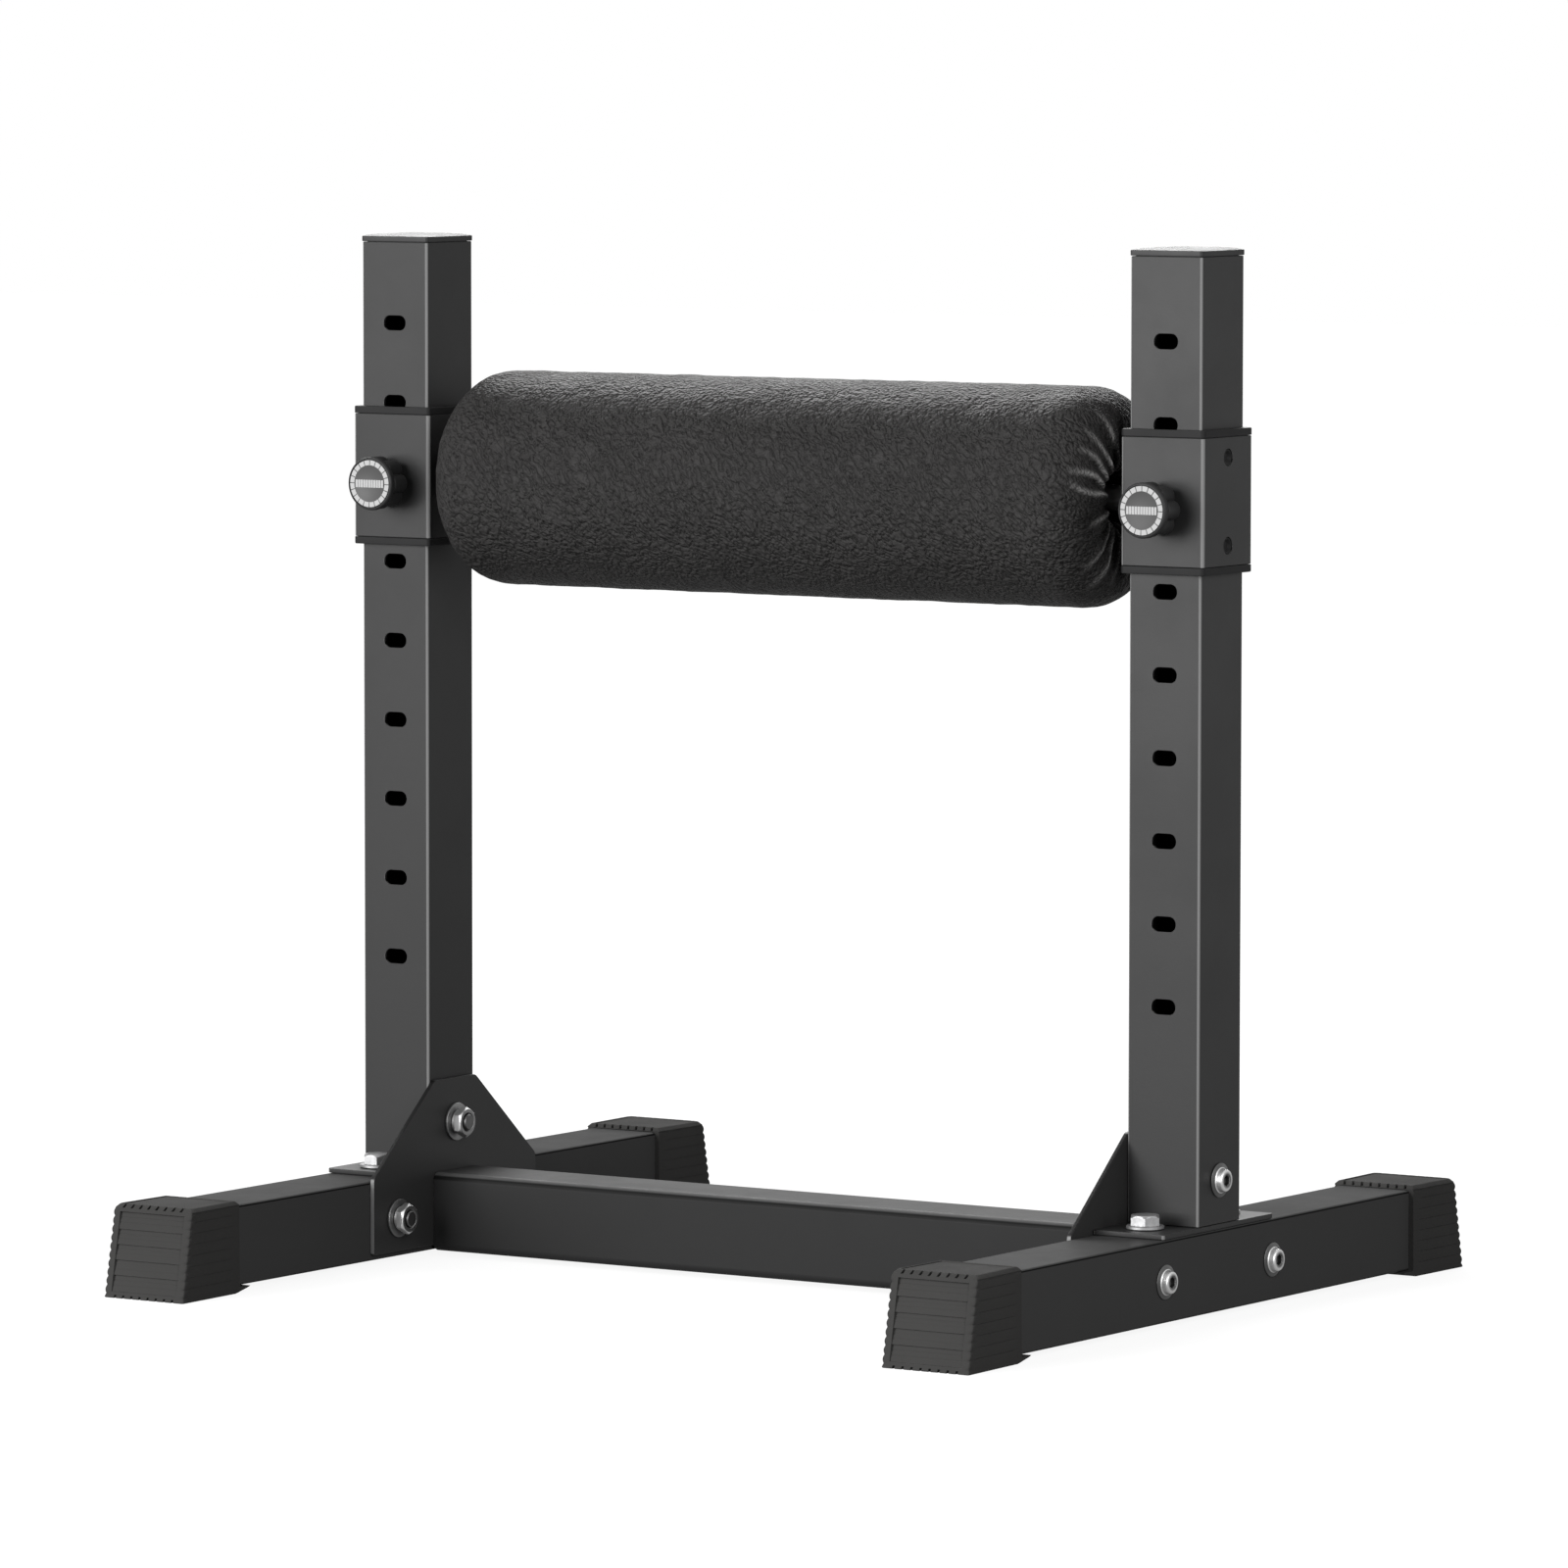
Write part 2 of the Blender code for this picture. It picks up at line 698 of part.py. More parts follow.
def make_spring(side, sign, carriage):
    """Coil between the pin's collar and the barrel's end wall."""
    place = pull_pin_places()
    low = place["collar front"] + fit_gap + spring_wire
    high = place["chamber end"] - fit_gap - spring_wire
    total = spring_turns * coil_steps
    bm = bmesh.new()
    loops = []
    for step in range(total + 1):
        angle = math.tau * step / coil_steps
        outward = Vector((math.cos(angle), math.sin(angle), 0))
        middle = outward * spring_radius + Vector((0, 0, low + (high - low) * step / total))
        loop = []
        for corner in range(wire_sides):
            turn = math.tau * corner / wire_sides
            offset = outward * math.cos(turn) + Vector((0, 0, math.sin(turn)))
            loop.append(bm.verts.new(middle + offset * spring_wire))
        loops.append(loop)
    for first, second in zip(loops, loops[1:]):
        for i in range(wire_sides):
            j = (i + 1) % wire_sides
            bm.faces.new((first[i], first[j], second[j], second[i]))
    bm.faces.new(loops[0])
    bm.faces.new(loops[-1])
    bmesh.ops.recalc_face_normals(bm, faces=bm.faces)
    at = (sign * post_x, 0, pin_height)
    add(f"pin_spring_{side}", bm, "spring steel", at, (0, -1, 0), carriage)


def make_lock_pin(side, sign, pin):
    """Steel pin: a thick tip for the slot, a collar for the spring and a thin stem."""
    place = pull_pin_places()
    tip = circle(pin_radius)
    point = circle(pin_radius - pin_chamfer)
    collar = circle(pin_collar_radius)
    stem = circle(stem_radius)
    start = tube_size / 2 + pin_clear
    sections = [
        (point, start),
        (tip, start + pin_chamfer),
        (tip, place["collar back"]),
        (collar, place["collar back"]),
        (collar, place["collar front"]),
        (stem, place["collar front"]),
        (stem, place["recess"] - fit_gap),
    ]
    at = (sign * post_x, 0, pin_height)
    add(f"lock_pin_{side}", loft(sections), "zinc", at, (0, -1, 0), pin)


def make_knob_grip(side, sign, knob):
    """Lobed grip with a round front rim, hollow at the back to swallow the barrel."""
    place = pull_pin_places()
    front = place["knob face"]
    back = front - knob_length
    rim_back = front - knob_rim_length
    bore = circle(barrel_flange_radius + 2 * fit_gap, fine)
    stem_hole = circle(stem_radius + fit_gap, fine)
    disc_room = circle(disc_radius + fit_gap, fine)
    rim = circle(knob_radius, fine)
    rim_edge = circle(knob_radius - knob_chamfer, fine)
    lobes = lobed(knob_radius, knob_lobe_depth, knob_lobes)
    lobe_edge = lobed(knob_radius - knob_chamfer, knob_lobe_depth, knob_lobes)
    sections = [
        (bore, back),
        (lobe_edge, back),
        (lobes, back + knob_chamfer),
        (lobes, rim_back - knob_chamfer),
        (rim, rim_back),
        (rim, front - knob_chamfer),
        (rim_edge, front),
        (disc_room, front),
        (disc_room, place["recess"]),
        (stem_hole, place["recess"]),
        (stem_hole, place["bore bottom"]),
        (bore, place["bore bottom"]),
    ]
    at = (sign * post_x, 0, pin_height)
    shape = loft(sections, ring=True)
    add(f"knob_grip_{side}", shape, "plastic", at, (0, -1, 0), knob)


def make_knob_disc(side, sign, knob):
    outline = circle(disc_radius, fine)
    front = pull_pin_places()["knob face"]
    shape = loft([(outline, front - disc_thick), (outline, front)])
    at = (sign * post_x, 0, pin_height)
    add(f"knob_disc_{side}", shape, "knob face", at, (0, -1, 0), knob)


def make_frame():
    make_cross_tube()
    for side, sign in sides.items():
        make_base_tube(side, sign)
        for end, direction in ends.items():
            make_foot(side, sign, end, direction)
        make_flange(side, sign)
        make_post(side, sign)
        make_foot_plate(side, sign)
        make_cap(side, sign)
        make_frame_fasteners(side, sign)
        make_plate_bolts(side, sign)


def make_carriage():
    axis = (0, 0, sleeve_middle)
    carriage = add_body("carriage", axis)
    roller = add_body("roller", axis)
    make_bar(carriage)
    make_roller_core(roller)
    make_roller_pad(roller)
    for side, sign in sides.items():
        make_sleeve(side, sign, carriage)
        make_liner("upper", side, sign, 1, carriage)
        make_liner("lower", side, sign, -1, carriage)
        make_bar_screw(side, sign, carriage)
        make_roller_bush(side, sign, roller)
        make_barrel(side, sign, carriage)
        make_spring(side, sign, carriage)
        axis = (sign * post_x, 0, pin_height)
        pin = add_body(f"pin_{side}", axis)
        knob = add_body(f"knob_{side}", axis)
        make_lock_pin(side, sign, pin)
        make_knob_grip(side, sign, knob)
        make_knob_disc(side, sign, knob)


clear_scene()
make_frame()
make_carriage()
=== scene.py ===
import math
import random

import bmesh
import bpy
from mathutils import Matrix, Vector


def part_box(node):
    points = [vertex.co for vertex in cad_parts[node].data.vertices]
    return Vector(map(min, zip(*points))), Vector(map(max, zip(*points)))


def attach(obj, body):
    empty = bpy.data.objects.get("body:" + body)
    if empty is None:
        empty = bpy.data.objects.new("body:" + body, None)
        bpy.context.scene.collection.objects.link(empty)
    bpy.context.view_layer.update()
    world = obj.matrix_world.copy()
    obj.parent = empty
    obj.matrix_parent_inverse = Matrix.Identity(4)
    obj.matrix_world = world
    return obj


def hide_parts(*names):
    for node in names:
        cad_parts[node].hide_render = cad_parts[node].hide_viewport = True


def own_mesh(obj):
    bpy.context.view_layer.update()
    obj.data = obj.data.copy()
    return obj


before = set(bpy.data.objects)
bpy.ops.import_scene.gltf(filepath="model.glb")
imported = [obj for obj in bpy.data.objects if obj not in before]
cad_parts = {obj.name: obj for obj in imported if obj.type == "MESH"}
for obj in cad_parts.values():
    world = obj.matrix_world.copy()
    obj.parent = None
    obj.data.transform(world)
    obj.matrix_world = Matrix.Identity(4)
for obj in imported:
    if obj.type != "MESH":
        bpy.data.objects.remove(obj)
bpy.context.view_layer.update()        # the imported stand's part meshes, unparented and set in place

sides = {"left": -1, "right": 1}
ends = {"front": -1, "back": 1}
sharpAngle = math.radians(32)


# Camera, lamps and floor

cameraSetup = {
    "place": (3.3469, -5.1515, 0.8085),
    "tilt": 85.358,
    "roll": -0.049,
    "turn": 33.063,
    "lens": 229.1,
    "sensor": 36.0,
}

# a lamp's aim is a height over the middle of the stand
lampSetup = {
    # a wide window in front on the left, which the posts' front faces mirror
    "frontWindow": {"place": (-1.35, -3.85, 1.25), "aim": 0.45, "size": (2.9, 2.4), "power": 430},
    # a tall narrow strip in front on the right, for the roller's end and the lines along upright edges
    "rightStrip": {"place": (2.35, -1.85, 1.15), "aim": 0.40, "size": (0.45, 2.2), "power": 68},
    # a weak panel on the right, for the bolt heads
    "sidePanel": {"place": (3.0, 0.10, 1.1), "aim": 0.30, "size": (1.2, 1.8), "power": 24},
    # a panel above and behind, for the roller's top
    "topPanel": {"place": (-1.3, 1.9, 2.1), "aim": 0.50, "size": (2.8, 0.9), "power": 128},
}

surroundings = {
    "ambient": 0.08,         # how bright the room is for light that spreads
    "floorSize": 30.0,
    "floorColor": 0.12,
    "floorRoughness": 0.9,
    "floorGlow": 0.90,       # what the camera sees of the floor in full shadow
    "mirroredGlowPaintedShade": 0.45,    # and what the stand mirrors of it: a dimmer floor near the stand, a painted shade in its reflections
    "glowReach": (0.9, 3.6), # between these distances the floor grows as bright as the background
}


def addCamera():
    data = bpy.data.cameras.new("viewpoint")
    data.sensor_width = cameraSetup["sensor"]
    data.lens = cameraSetup["lens"]
    camera = bpy.data.objects.new("viewpoint", data)
    bpy.context.collection.objects.link(camera)
    camera.location = cameraSetup["place"]
    angles = (cameraSetup["tilt"], cameraSetup["roll"], cameraSetup["turn"])
    camera.rotation_euler = [math.radians(angle) for angle in angles]
    bpy.context.scene.camera = camera


def addLamp(name, setup):
    data = bpy.data.lights.new(name, "AREA")
    data.shape = "RECTANGLE"
    data.size, data.size_y = setup["size"]
    data.energy = setup["power"]
    lamp = bpy.data.objects.new(name, data)
    bpy.context.collection.objects.link(lamp)
    lamp.location = setup["place"]
    toward = Vector((0, 0, setup["aim"])) - Vector(setup["place"])
    lamp.rotation_euler = toward.to_track_quat("-Z", "Y").to_euler()
    lamp.visible_camera = False


def addNode(tree, kind, values=None, **settings):
    # values are other nodes' sockets, or plain numbers and vectors
    made = tree.nodes.new("ShaderNode" + kind)
    for name, value in settings.items():
        setattr(made, name, value)
    for name, value in (values or {}).items():
        if isinstance(value, bpy.types.NodeSocket):
            tree.links.new(value, made.inputs[name])
        else:
            made.inputs[name].default_value = value
    return made


def calculate(tree, operation, *terms, clamp=False):
    return addNode(tree, "Math", dict(enumerate(terms)), operation=operation, use_clamp=clamp).outputs[0]


def mapRange(tree, value, low, high, newLow=0.0, newHigh=1.0):
    values = {"Value": value, "From Min": low, "From Max": high, "To Min": newLow, "To Max": newHigh}
    return addNode(tree, "MapRange", values, interpolation_type="SMOOTHSTEP").outputs["Result"]


def rayKinds(tree, *kinds):
    # 1 for rays of these kinds, 0 for all others
    path = addNode(tree, "LightPath")
    total = 0.0
    for kind in kinds:
        total = calculate(tree, "ADD", total, path.outputs[f"Is {kind} Ray"], clamp=True)
    return total


def setWorld():
    world = bpy.data.worlds.new("paleRoom")
    bpy.context.scene.world = world
    world.use_nodes = True
    world.cycles.sampling_method = "NONE"
    tree = world.node_tree
    background = tree.nodes["Background"]
    background.inputs["Color"].default_value = (1, 1, 1, 1)
    ambient = surroundings["ambient"]
    direct = rayKinds(tree, "Camera", "Glossy", "Transmission")
    strength = calculate(tree, "MULTIPLY_ADD", direct, 1 - ambient, ambient)
    tree.links.new(strength, background.inputs["Strength"])


def makeFloorMaterial():
    made = bpy.data.materials.new("paleFloor")
    made.use_nodes = True
    made.cycles.emission_sampling = "NONE"
    tree = made.node_tree
    shader = tree.nodes["Principled BSDF"]
    shader.inputs["Base Color"].default_value = (*gray(surroundings["floorColor"]), 1)
    shader.inputs["Roughness"].default_value = surroundings["floorRoughness"]
    shader.inputs["Specular IOR Level"].default_value = 0.0
    shader.inputs["Emission Color"].default_value = (1, 1, 1, 1)
    place = addNode(tree, "TexCoord").outputs["Object"]
    distance = addNode(tree, "VectorMath", {0: place}, operation="LENGTH").outputs["Value"]
    near, far = surroundings["glowReach"]
    glows = []
    # near the stand the floor glows dimmer for mirrored rays, a painted shade in the stand's reflections
    for start, kinds in (("floorGlow", ("Camera",)), ("mirroredGlowPaintedShade", ("Glossy", "Transmission"))):
        brightness = mapRange(tree, distance, near, far, surroundings[start], 1.0)
        glows.append(calculate(tree, "MULTIPLY", rayKinds(tree, *kinds), brightness))
    tree.links.new(calculate(tree, "ADD", *glows), shader.inputs["Emission Strength"])
    return made


def addFloor():
    bm = bmesh.new()
    bmesh.ops.create_grid(bm, x_segments=8, y_segments=8, size=surroundings["floorSize"] / 2)
    mesh = bpy.data.meshes.new("floor")
    bm.to_mesh(mesh)
    bm.free()
    mesh.materials.append(makeFloorMaterial())
    floor = bpy.data.objects.new("floor", mesh)
    bpy.context.collection.objects.link(floor)


def gray(value):
    return (value, value, value)


addCamera()
for lampName, lampValues in lampSetup.items():
    addLamp(lampName, lampValues)
setWorld()
addFloor()
bpy.context.scene.view_settings.view_transform = "Standard"
print("camera, lamps and floor in place")


# Shared surface effects, one node group each

def startGroup(name, inputs, outputs):
    group = bpy.data.node_groups.new(name, "ShaderNodeTree")
    for label, value in inputs.items():
        socket = group.interface.new_socket(label, in_out="INPUT", socket_type="NodeSocketFloat")
        socket.default_value = value
    for label in outputs:
        group.interface.new_socket(label, in_out="OUTPUT", socket_type="NodeSocketFloat")
    return group, group.nodes.new("NodeGroupInput").outputs, group.nodes.new("NodeGroupOutput").inputs


def noiseAt(tree, place, scale, detail=3.0, roughness=0.55):
    values = {"Vector": place, "Scale": scale, "Detail": detail, "Roughness": roughness}
    return addNode(tree, "TexNoise", values).outputs["Fac"]


def wander(tree, place, scale, reach):
    # shifts a place by a soft noise, so that a pattern read there bends
    bend = addNode(tree, "TexNoise", {"Vector": place, "Scale": scale, "Detail": 2.0}).outputs["Color"]
    centred = addNode(tree, "VectorMath", {0: bend, 1: (0.5, 0.5, 0.5)}, operation="SUBTRACT").outputs[0]
    shift = addNode(tree, "VectorMath", {0: centred, "Scale": reach}, operation="SCALE").outputs[0]
    return addNode(tree, "VectorMath", {0: place, 1: shift}, operation="ADD").outputs[0]


def makeCoatGrain():
    # the fine orange peel of sprayed powder or moulded plastic, and broad clouds of tone
    group, entry, leave = startGroup("coatGrain", {"Scale": 900.0, "Coarse Share": 0.4}, ("Height", "Tone"))
    coarseScale, cloudScale = 0.22, 0.02         # shares of the fine grain's scale
    place = addNode(group, "TexCoord").outputs["Object"]
    fine = noiseAt(group, place, entry["Scale"], 2.0)
    coarse = noiseAt(group, place, calculate(group, "MULTIPLY", entry["Scale"], coarseScale), 1.0)
    share = calculate(group, "MULTIPLY", coarse, entry["Coarse Share"])
    group.links.new(calculate(group, "ADD", fine, share), leave["Height"])
    cloudy = noiseAt(group, place, calculate(group, "MULTIPLY", entry["Scale"], cloudScale), 3.0)
    group.links.new(cloudy, leave["Tone"])
    return group


def makeEdgeWear():
    # a mask along outer edges, broken up by noise
    group, entry, leave = startGroup("edgeWear", {"Radius": 0.001, "Break Up": 120.0}, ("Mask",))
    rounded = addNode(group, "Bevel", {"Radius": entry["Radius"]}, samples=4).outputs["Normal"]
    plain = addNode(group, "NewGeometry").outputs["True Normal"]
    match = addNode(group, "VectorMath", {0: rounded, 1: plain}, operation="DOT_PRODUCT").outputs["Value"]
    place = addNode(group, "TexCoord").outputs["Object"]
    broken = mapRange(group, noiseAt(group, place, entry["Break Up"], 4.0), 0.35, 0.65)
    edge = mapRange(group, match, 0.99, 0.80)
    group.links.new(calculate(group, "MULTIPLY", edge, broken), leave["Mask"])
    return group


def makePaintedCornerLight():
    # masks along a square tube's round corners: the upright ones, and the level ones' upper and lower halves,
    # and one for what faces front or back; a coat paints highlights and shade into its colour through them
    group, entry, leave = startGroup("paintedCornerLight", {}, ("Upright", "High", "Low", "Front"))
    normal = addNode(group, "SeparateXYZ", {0: addNode(group, "TexCoord").outputs["Normal"]}).outputs
    across = [calculate(group, "ABSOLUTE", normal[axis]) for axis in ("X", "Y")]
    least = calculate(group, "MINIMUM", *across)
    most = calculate(group, "MAXIMUM", *across)
    group.links.new(mapRange(group, least, 0.12, 0.45), leave["Upright"])
    turned = mapRange(group, most, 0.08, 0.30)
    upper = calculate(group, "MULTIPLY", mapRange(group, normal["Z"], 0.55, 0.75), turned)
    group.links.new(upper, leave["High"])
    rising, falling = mapRange(group, normal["Z"], 0.06, 0.22), mapRange(group, normal["Z"], 0.66, 0.50)
    group.links.new(calculate(group, "MULTIPLY", rising, falling), leave["Low"])
    group.links.new(mapRange(group, across[1], 0.80, 0.95), leave["Front"])
    return group


def makeSettledDust():
    # thin dust on faces that look up
    group, entry, leave = startGroup("settledDust", {"Amount": 0.2, "Scale": 60.0}, ("Mask",))
    coords = addNode(group, "TexCoord").outputs
    normal = addNode(group, "SeparateXYZ", {0: coords["Normal"]}).outputs
    upward = mapRange(group, normal["Z"], 0.35, 0.95)
    patches = mapRange(group, noiseAt(group, coords["Object"], entry["Scale"], 6.0), 0.3, 0.75)
    mask = calculate(group, "MULTIPLY", upward, patches)
    group.links.new(calculate(group, "MULTIPLY", mask, entry["Amount"]), leave["Mask"])
    return group


def makeSmudges():
    # broad soft patches, where hands and cloths have been
    group, entry, leave = startGroup("smudges", {"Scale": 18.0}, ("Mask",))
    patches = noiseAt(group, addNode(group, "TexCoord").outputs["Object"], entry["Scale"], 5.0, 0.6)
    group.links.new(mapRange(group, patches, 0.35, 0.7), leave["Mask"])
    return group


def makeHairlines():
    # short fine scratches in every direction, from three crossed stretched noises
    group, entry, leave = startGroup("hairlines", {"Scale": 260.0}, ("Mask",))
    place = addNode(group, "TexCoord").outputs["Object"]
    lines = []
    for turn, stretch in ((0.4, (1.0, 0.04, 1.0)), (1.9, (0.05, 1.0, 0.8)), (2.8, (0.6, 1.0, 0.05))):
        values = {"Vector": place, "Rotation": (turn, turn * 0.7, turn), "Scale": stretch}
        stretched = addNode(group, "Mapping", values).outputs["Vector"]
        lines.append(mapRange(group, noiseAt(group, stretched, entry["Scale"], 2.0), 0.66, 0.74))
    both = calculate(group, "MAXIMUM", lines[0], lines[1])
    group.links.new(calculate(group, "MAXIMUM", both, lines[2]), leave["Mask"])
    return group


def makeHideGrain():
    # grained hide: small round pebbles, crossed by longer wrinkles that wander, read at the place
    # that is stored on the cover
    group, entry, leave = startGroup("hideGrain", {"Scale": 360.0, "Wander": 0.0035}, ("Height", "CreaseShade"))
    cover = addNode(group, "Attribute", attribute_name="coverPlace").outputs["Vector"]
    moved = wander(group, cover, 60.0, calculate(group, "MULTIPLY", entry["Wander"], 2.0))
    cells = {"Vector": moved, "Scale": entry["Scale"], "Smoothness": 0.35}
    near = addNode(group, "TexVoronoi", cells, feature="SMOOTH_F1").outputs["Distance"]
    pebble = mapRange(group, near, 0.75, 0.10)
    stretch = {"Vector": moved, "Scale": (2.4, 1.0, 1.0), "Rotation": (0.0, 0.85, 0.0)}
    long = addNode(group, "Mapping", stretch, vector_type="TEXTURE").outputs["Vector"]
    wide = noiseAt(group, long, calculate(group, "MULTIPLY", entry["Scale"], 0.62), 2.0)
    fold = calculate(group, "ABSOLUTE", calculate(group, "MULTIPLY_ADD", wide, 2.0, -1.0))
    wrinkle = mapRange(group, fold, 0.0, 0.30)
    height = calculate(group, "MULTIPLY_ADD", wrinkle, 0.75, calculate(group, "MULTIPLY", pebble, 0.55))
    group.links.new(height, leave["Height"])
    # a mask for painted shade in the wrinkles' valleys
    group.links.new(mapRange(group, fold, 0.07, 0.0), leave["CreaseShade"])
    return group


coatGrain = makeCoatGrain()
edgeWear = makeEdgeWear()
paintedCornerLight = makePaintedCornerLight()
settledDust = makeSettledDust()
smudges = makeSmudges()
hairlines = makeHairlines()
hideGrain = makeHideGrain()


# Materials

def placeGroup(tree, group, **values):
    values = {name.replace("_", " "): value for name, value in values.items()}
    return addNode(tree, "Group", values, node_tree=group).outputs


def blendColor(tree, mask, first, second):
    # colours are sockets or (r, g, b)
    first, second = ((*color, 1) if isinstance(color, tuple) else color for color in (first, second))
    return addNode(tree, "Mix", {"Factor": mask, 6: first, 7: second}, data_type="RGBA").outputs[2]


def blendValue(tree, mask, first, second):
    return addNode(tree, "Mix", {"Factor": mask, 2: first, 3: second}, data_type="FLOAT").outputs[0]


def startMaterial(name, metallic=0.0, specular=0.5):
    made = bpy.data.materials.new(name)
    made.use_nodes = True
    shader = made.node_tree.nodes["Principled BSDF"].inputs
    shader["Metallic"].default_value = metallic
    shader["Specular IOR Level"].default_value = specular
    return made, made.node_tree, shader


def addBump(tree, shader, height, strength, distance):
    bump = addNode(tree, "Bump", {"Strength": strength, "Distance": distance, "Height": height})
    tree.links.new(bump.outputs["Normal"], shader["Normal"])


coatFinish = {
    "color": (0.0125, 0.0125, 0.0126),
    "cloudColor": (0.0140, 0.0140, 0.0141),
    "edgeColor": (0.020, 0.020, 0.020),
    "dustColor": (0.022, 0.0218, 0.0215),
    "roughness": 0.40,
    "smudgedRoughness": 0.46,
    "specular": 0.12,
    "grainScale": 1100.0,
    "grainDepth": 0.00006,
    "dust": 0.12,
    "dustRoughness": 0.20,
    # painted highlights along upright and upper level corners, painted shade along the lower ones
    "uprightCornerHighlight": gray(0.110),
    "highCornerPaintedLight": gray(0.040),
    "lowCornerShade": gray(0.003),
}
# which corner mask carries which painted highlight or painted shade
paintedCornerLights = {"Upright": "uprightCornerHighlight", "High": "highCornerPaintedLight", "Low": "lowCornerShade", "Front": "frontEdgeHighlight"}


def makeCoat(name, finish, wear=0.5):
    made, tree, shader = startMaterial(name, specular=finish["specular"])
    grain = placeGroup(tree, coatGrain, Scale=finish["grainScale"])
    color = blendColor(tree, grain["Tone"], finish["color"], finish["cloudColor"])
    worn = placeGroup(tree, edgeWear, Radius=0.0008, Break_Up=90.0)
    mask = calculate(tree, "MULTIPLY", worn["Mask"], wear)
    color = blendColor(tree, mask, color, finish["edgeColor"])
    # painted highlights and painted shade along corners, where the finish gives their colours
    corner = placeGroup(tree, paintedCornerLight)
    for label, paintedLightKey in paintedCornerLights.items():
        if paintedLightKey in finish:
            color = blendColor(tree, corner[label], color, finish[paintedLightKey])
    dust = placeGroup(tree, settledDust, Amount=finish["dust"])
    color = blendColor(tree, dust["Mask"], color, finish["dustColor"])
    tree.links.new(color, shader["Base Color"])
    smudge = placeGroup(tree, smudges)
    rough = blendValue(tree, smudge["Mask"], finish["roughness"], finish["smudgedRoughness"])
    rough = calculate(tree, "MULTIPLY_ADD", dust["Mask"], finish["dustRoughness"], rough)
    tree.links.new(rough, shader["Roughness"])
    addBump(tree, shader, grain["Height"], 0.5, finish["grainDepth"])
    return made


rubberFinish = {
    "color": (0.0215, 0.0212, 0.0208),
    "cloudColor": (0.0270, 0.0266, 0.0260),
    "edgeColor": (0.045, 0.044, 0.043),
    "dustColor": (0.10, 0.098, 0.095),
    "roughness": 0.72,
    "smudgedRoughness": 0.82,
    "specular": 0.03,
    "grainScale": 430.0,
    "grainDepth": 0.00040,
    "dust": 0.10,
    "dustRoughness": 0.60,
}

plasticFinish = {
    "color": (0.0105, 0.0105, 0.0107),
    "cloudColor": (0.0130, 0.0130, 0.0132),
    "edgeColor": (0.030, 0.030, 0.030),
    "dustColor": (0.09, 0.088, 0.085),
    "roughness": 0.46,
    "smudgedRoughness": 0.56,
    "specular": 0.15,
    "grainScale": 1500.0,
    "grainDepth": 0.00004,
    "dust": 0.12,
    "dustRoughness": 0.30,
}

zincFinish = {
    "color": (0.46, 0.46, 0.465),
    "dullColor": (0.38, 0.38, 0.383),
    "roughness": 0.30,
    "dullRoughness": 0.40,
    "scratchRoughness": 0.12,
    "smudgeScale": 160.0,
    "scratchScale": 700.0,
    "grainScale": 2200.0,
    "grainDepth": 0.00003,
}


def makeMetal(name, finish):
    made, tree, shader = startMaterial(name, metallic=1.0)
    smudge = placeGroup(tree, smudges, Scale=finish["smudgeScale"])
    color = blendColor(tree, smudge["Mask"], finish["color"], finish["dullColor"])
    if "bodyHighlightColor" in finish:
        # a painted highlight on the steep body of bolt heads and nuts
        polished = addNode(tree, "Attribute", attribute_name="polished").outputs["Fac"]
        color = blendColor(tree, polished, color, finish["bodyHighlightColor"])
    tree.links.new(color, shader["Base Color"])
    marks = placeGroup(tree, hairlines, Scale=finish["scratchScale"])
    rough = blendValue(tree, smudge["Mask"], finish["roughness"], finish["dullRoughness"])
    rough = calculate(tree, "MULTIPLY_ADD", marks["Mask"], finish["scratchRoughness"], rough)
    tree.links.new(rough, shader["Roughness"])
    grain = placeGroup(tree, coatGrain, Scale=finish["grainScale"])
    addBump(tree, shader, grain["Height"], 0.25, finish["grainDepth"])
    return made


hideFinish = {
    "color": (0.0160, 0.0155, 0.0153),
    "paleColor": (0.0190, 0.0184, 0.0182),
    # painted shade for the wrinkles' valleys
    "creaseShadeColor": (0.0050, 0.0048, 0.0047),
    "ridgeHighlightColor": (0.240, 0.236, 0.234),     # a painted highlight on the ridges beside the gathers
    "roughness": 0.50,
    "paleRoughness": 0.58,
    "specular": 0.045,
    "paleScale": 26.0,
    "grainScale": 360.0,
    "grainDepth": 0.00170,
}


def makeHide(name, finish):
    made, tree, shader = startMaterial(name, specular=finish["specular"])
    grain = placeGroup(tree, hideGrain, Scale=finish["grainScale"])
    smudge = placeGroup(tree, smudges, Scale=finish["paleScale"])
    color = blendColor(tree, smudge["Mask"], finish["color"], finish["paleColor"])
    # painted shade darkens the wrinkles' valleys
    color = blendColor(tree, grain["CreaseShade"], color, finish["creaseShadeColor"])
    # a painted highlight on the ridges beside the gathers, read from the cover's stretched attribute
    stretched = addNode(tree, "Attribute", attribute_name="stretched").outputs["Fac"]
    color = blendColor(tree, stretched, color, finish["ridgeHighlightColor"])
    tree.links.new(color, shader["Base Color"])
    rough = blendValue(tree, smudge["Mask"], finish["roughness"], finish["paleRoughness"])
    tree.links.new(rough, shader["Roughness"])
    addBump(tree, shader, grain["Height"], 0.8, finish["grainDepth"])
    return made


plainFinish = {name: value for name, value in coatFinish.items() if "Corner" not in name}
# the base tubes' coat has almost no gloss, and its colour is painted lighter than the same coat on the posts,
# as painted light in place of that gloss
baseFinish = dict(coatFinish, color=gray(0.0310), cloudColor=gray(0.0335), specular=0.007)
crossFinish = dict(coatFinish, specular=0.05, roughness=0.48, smudgedRoughness=0.54)
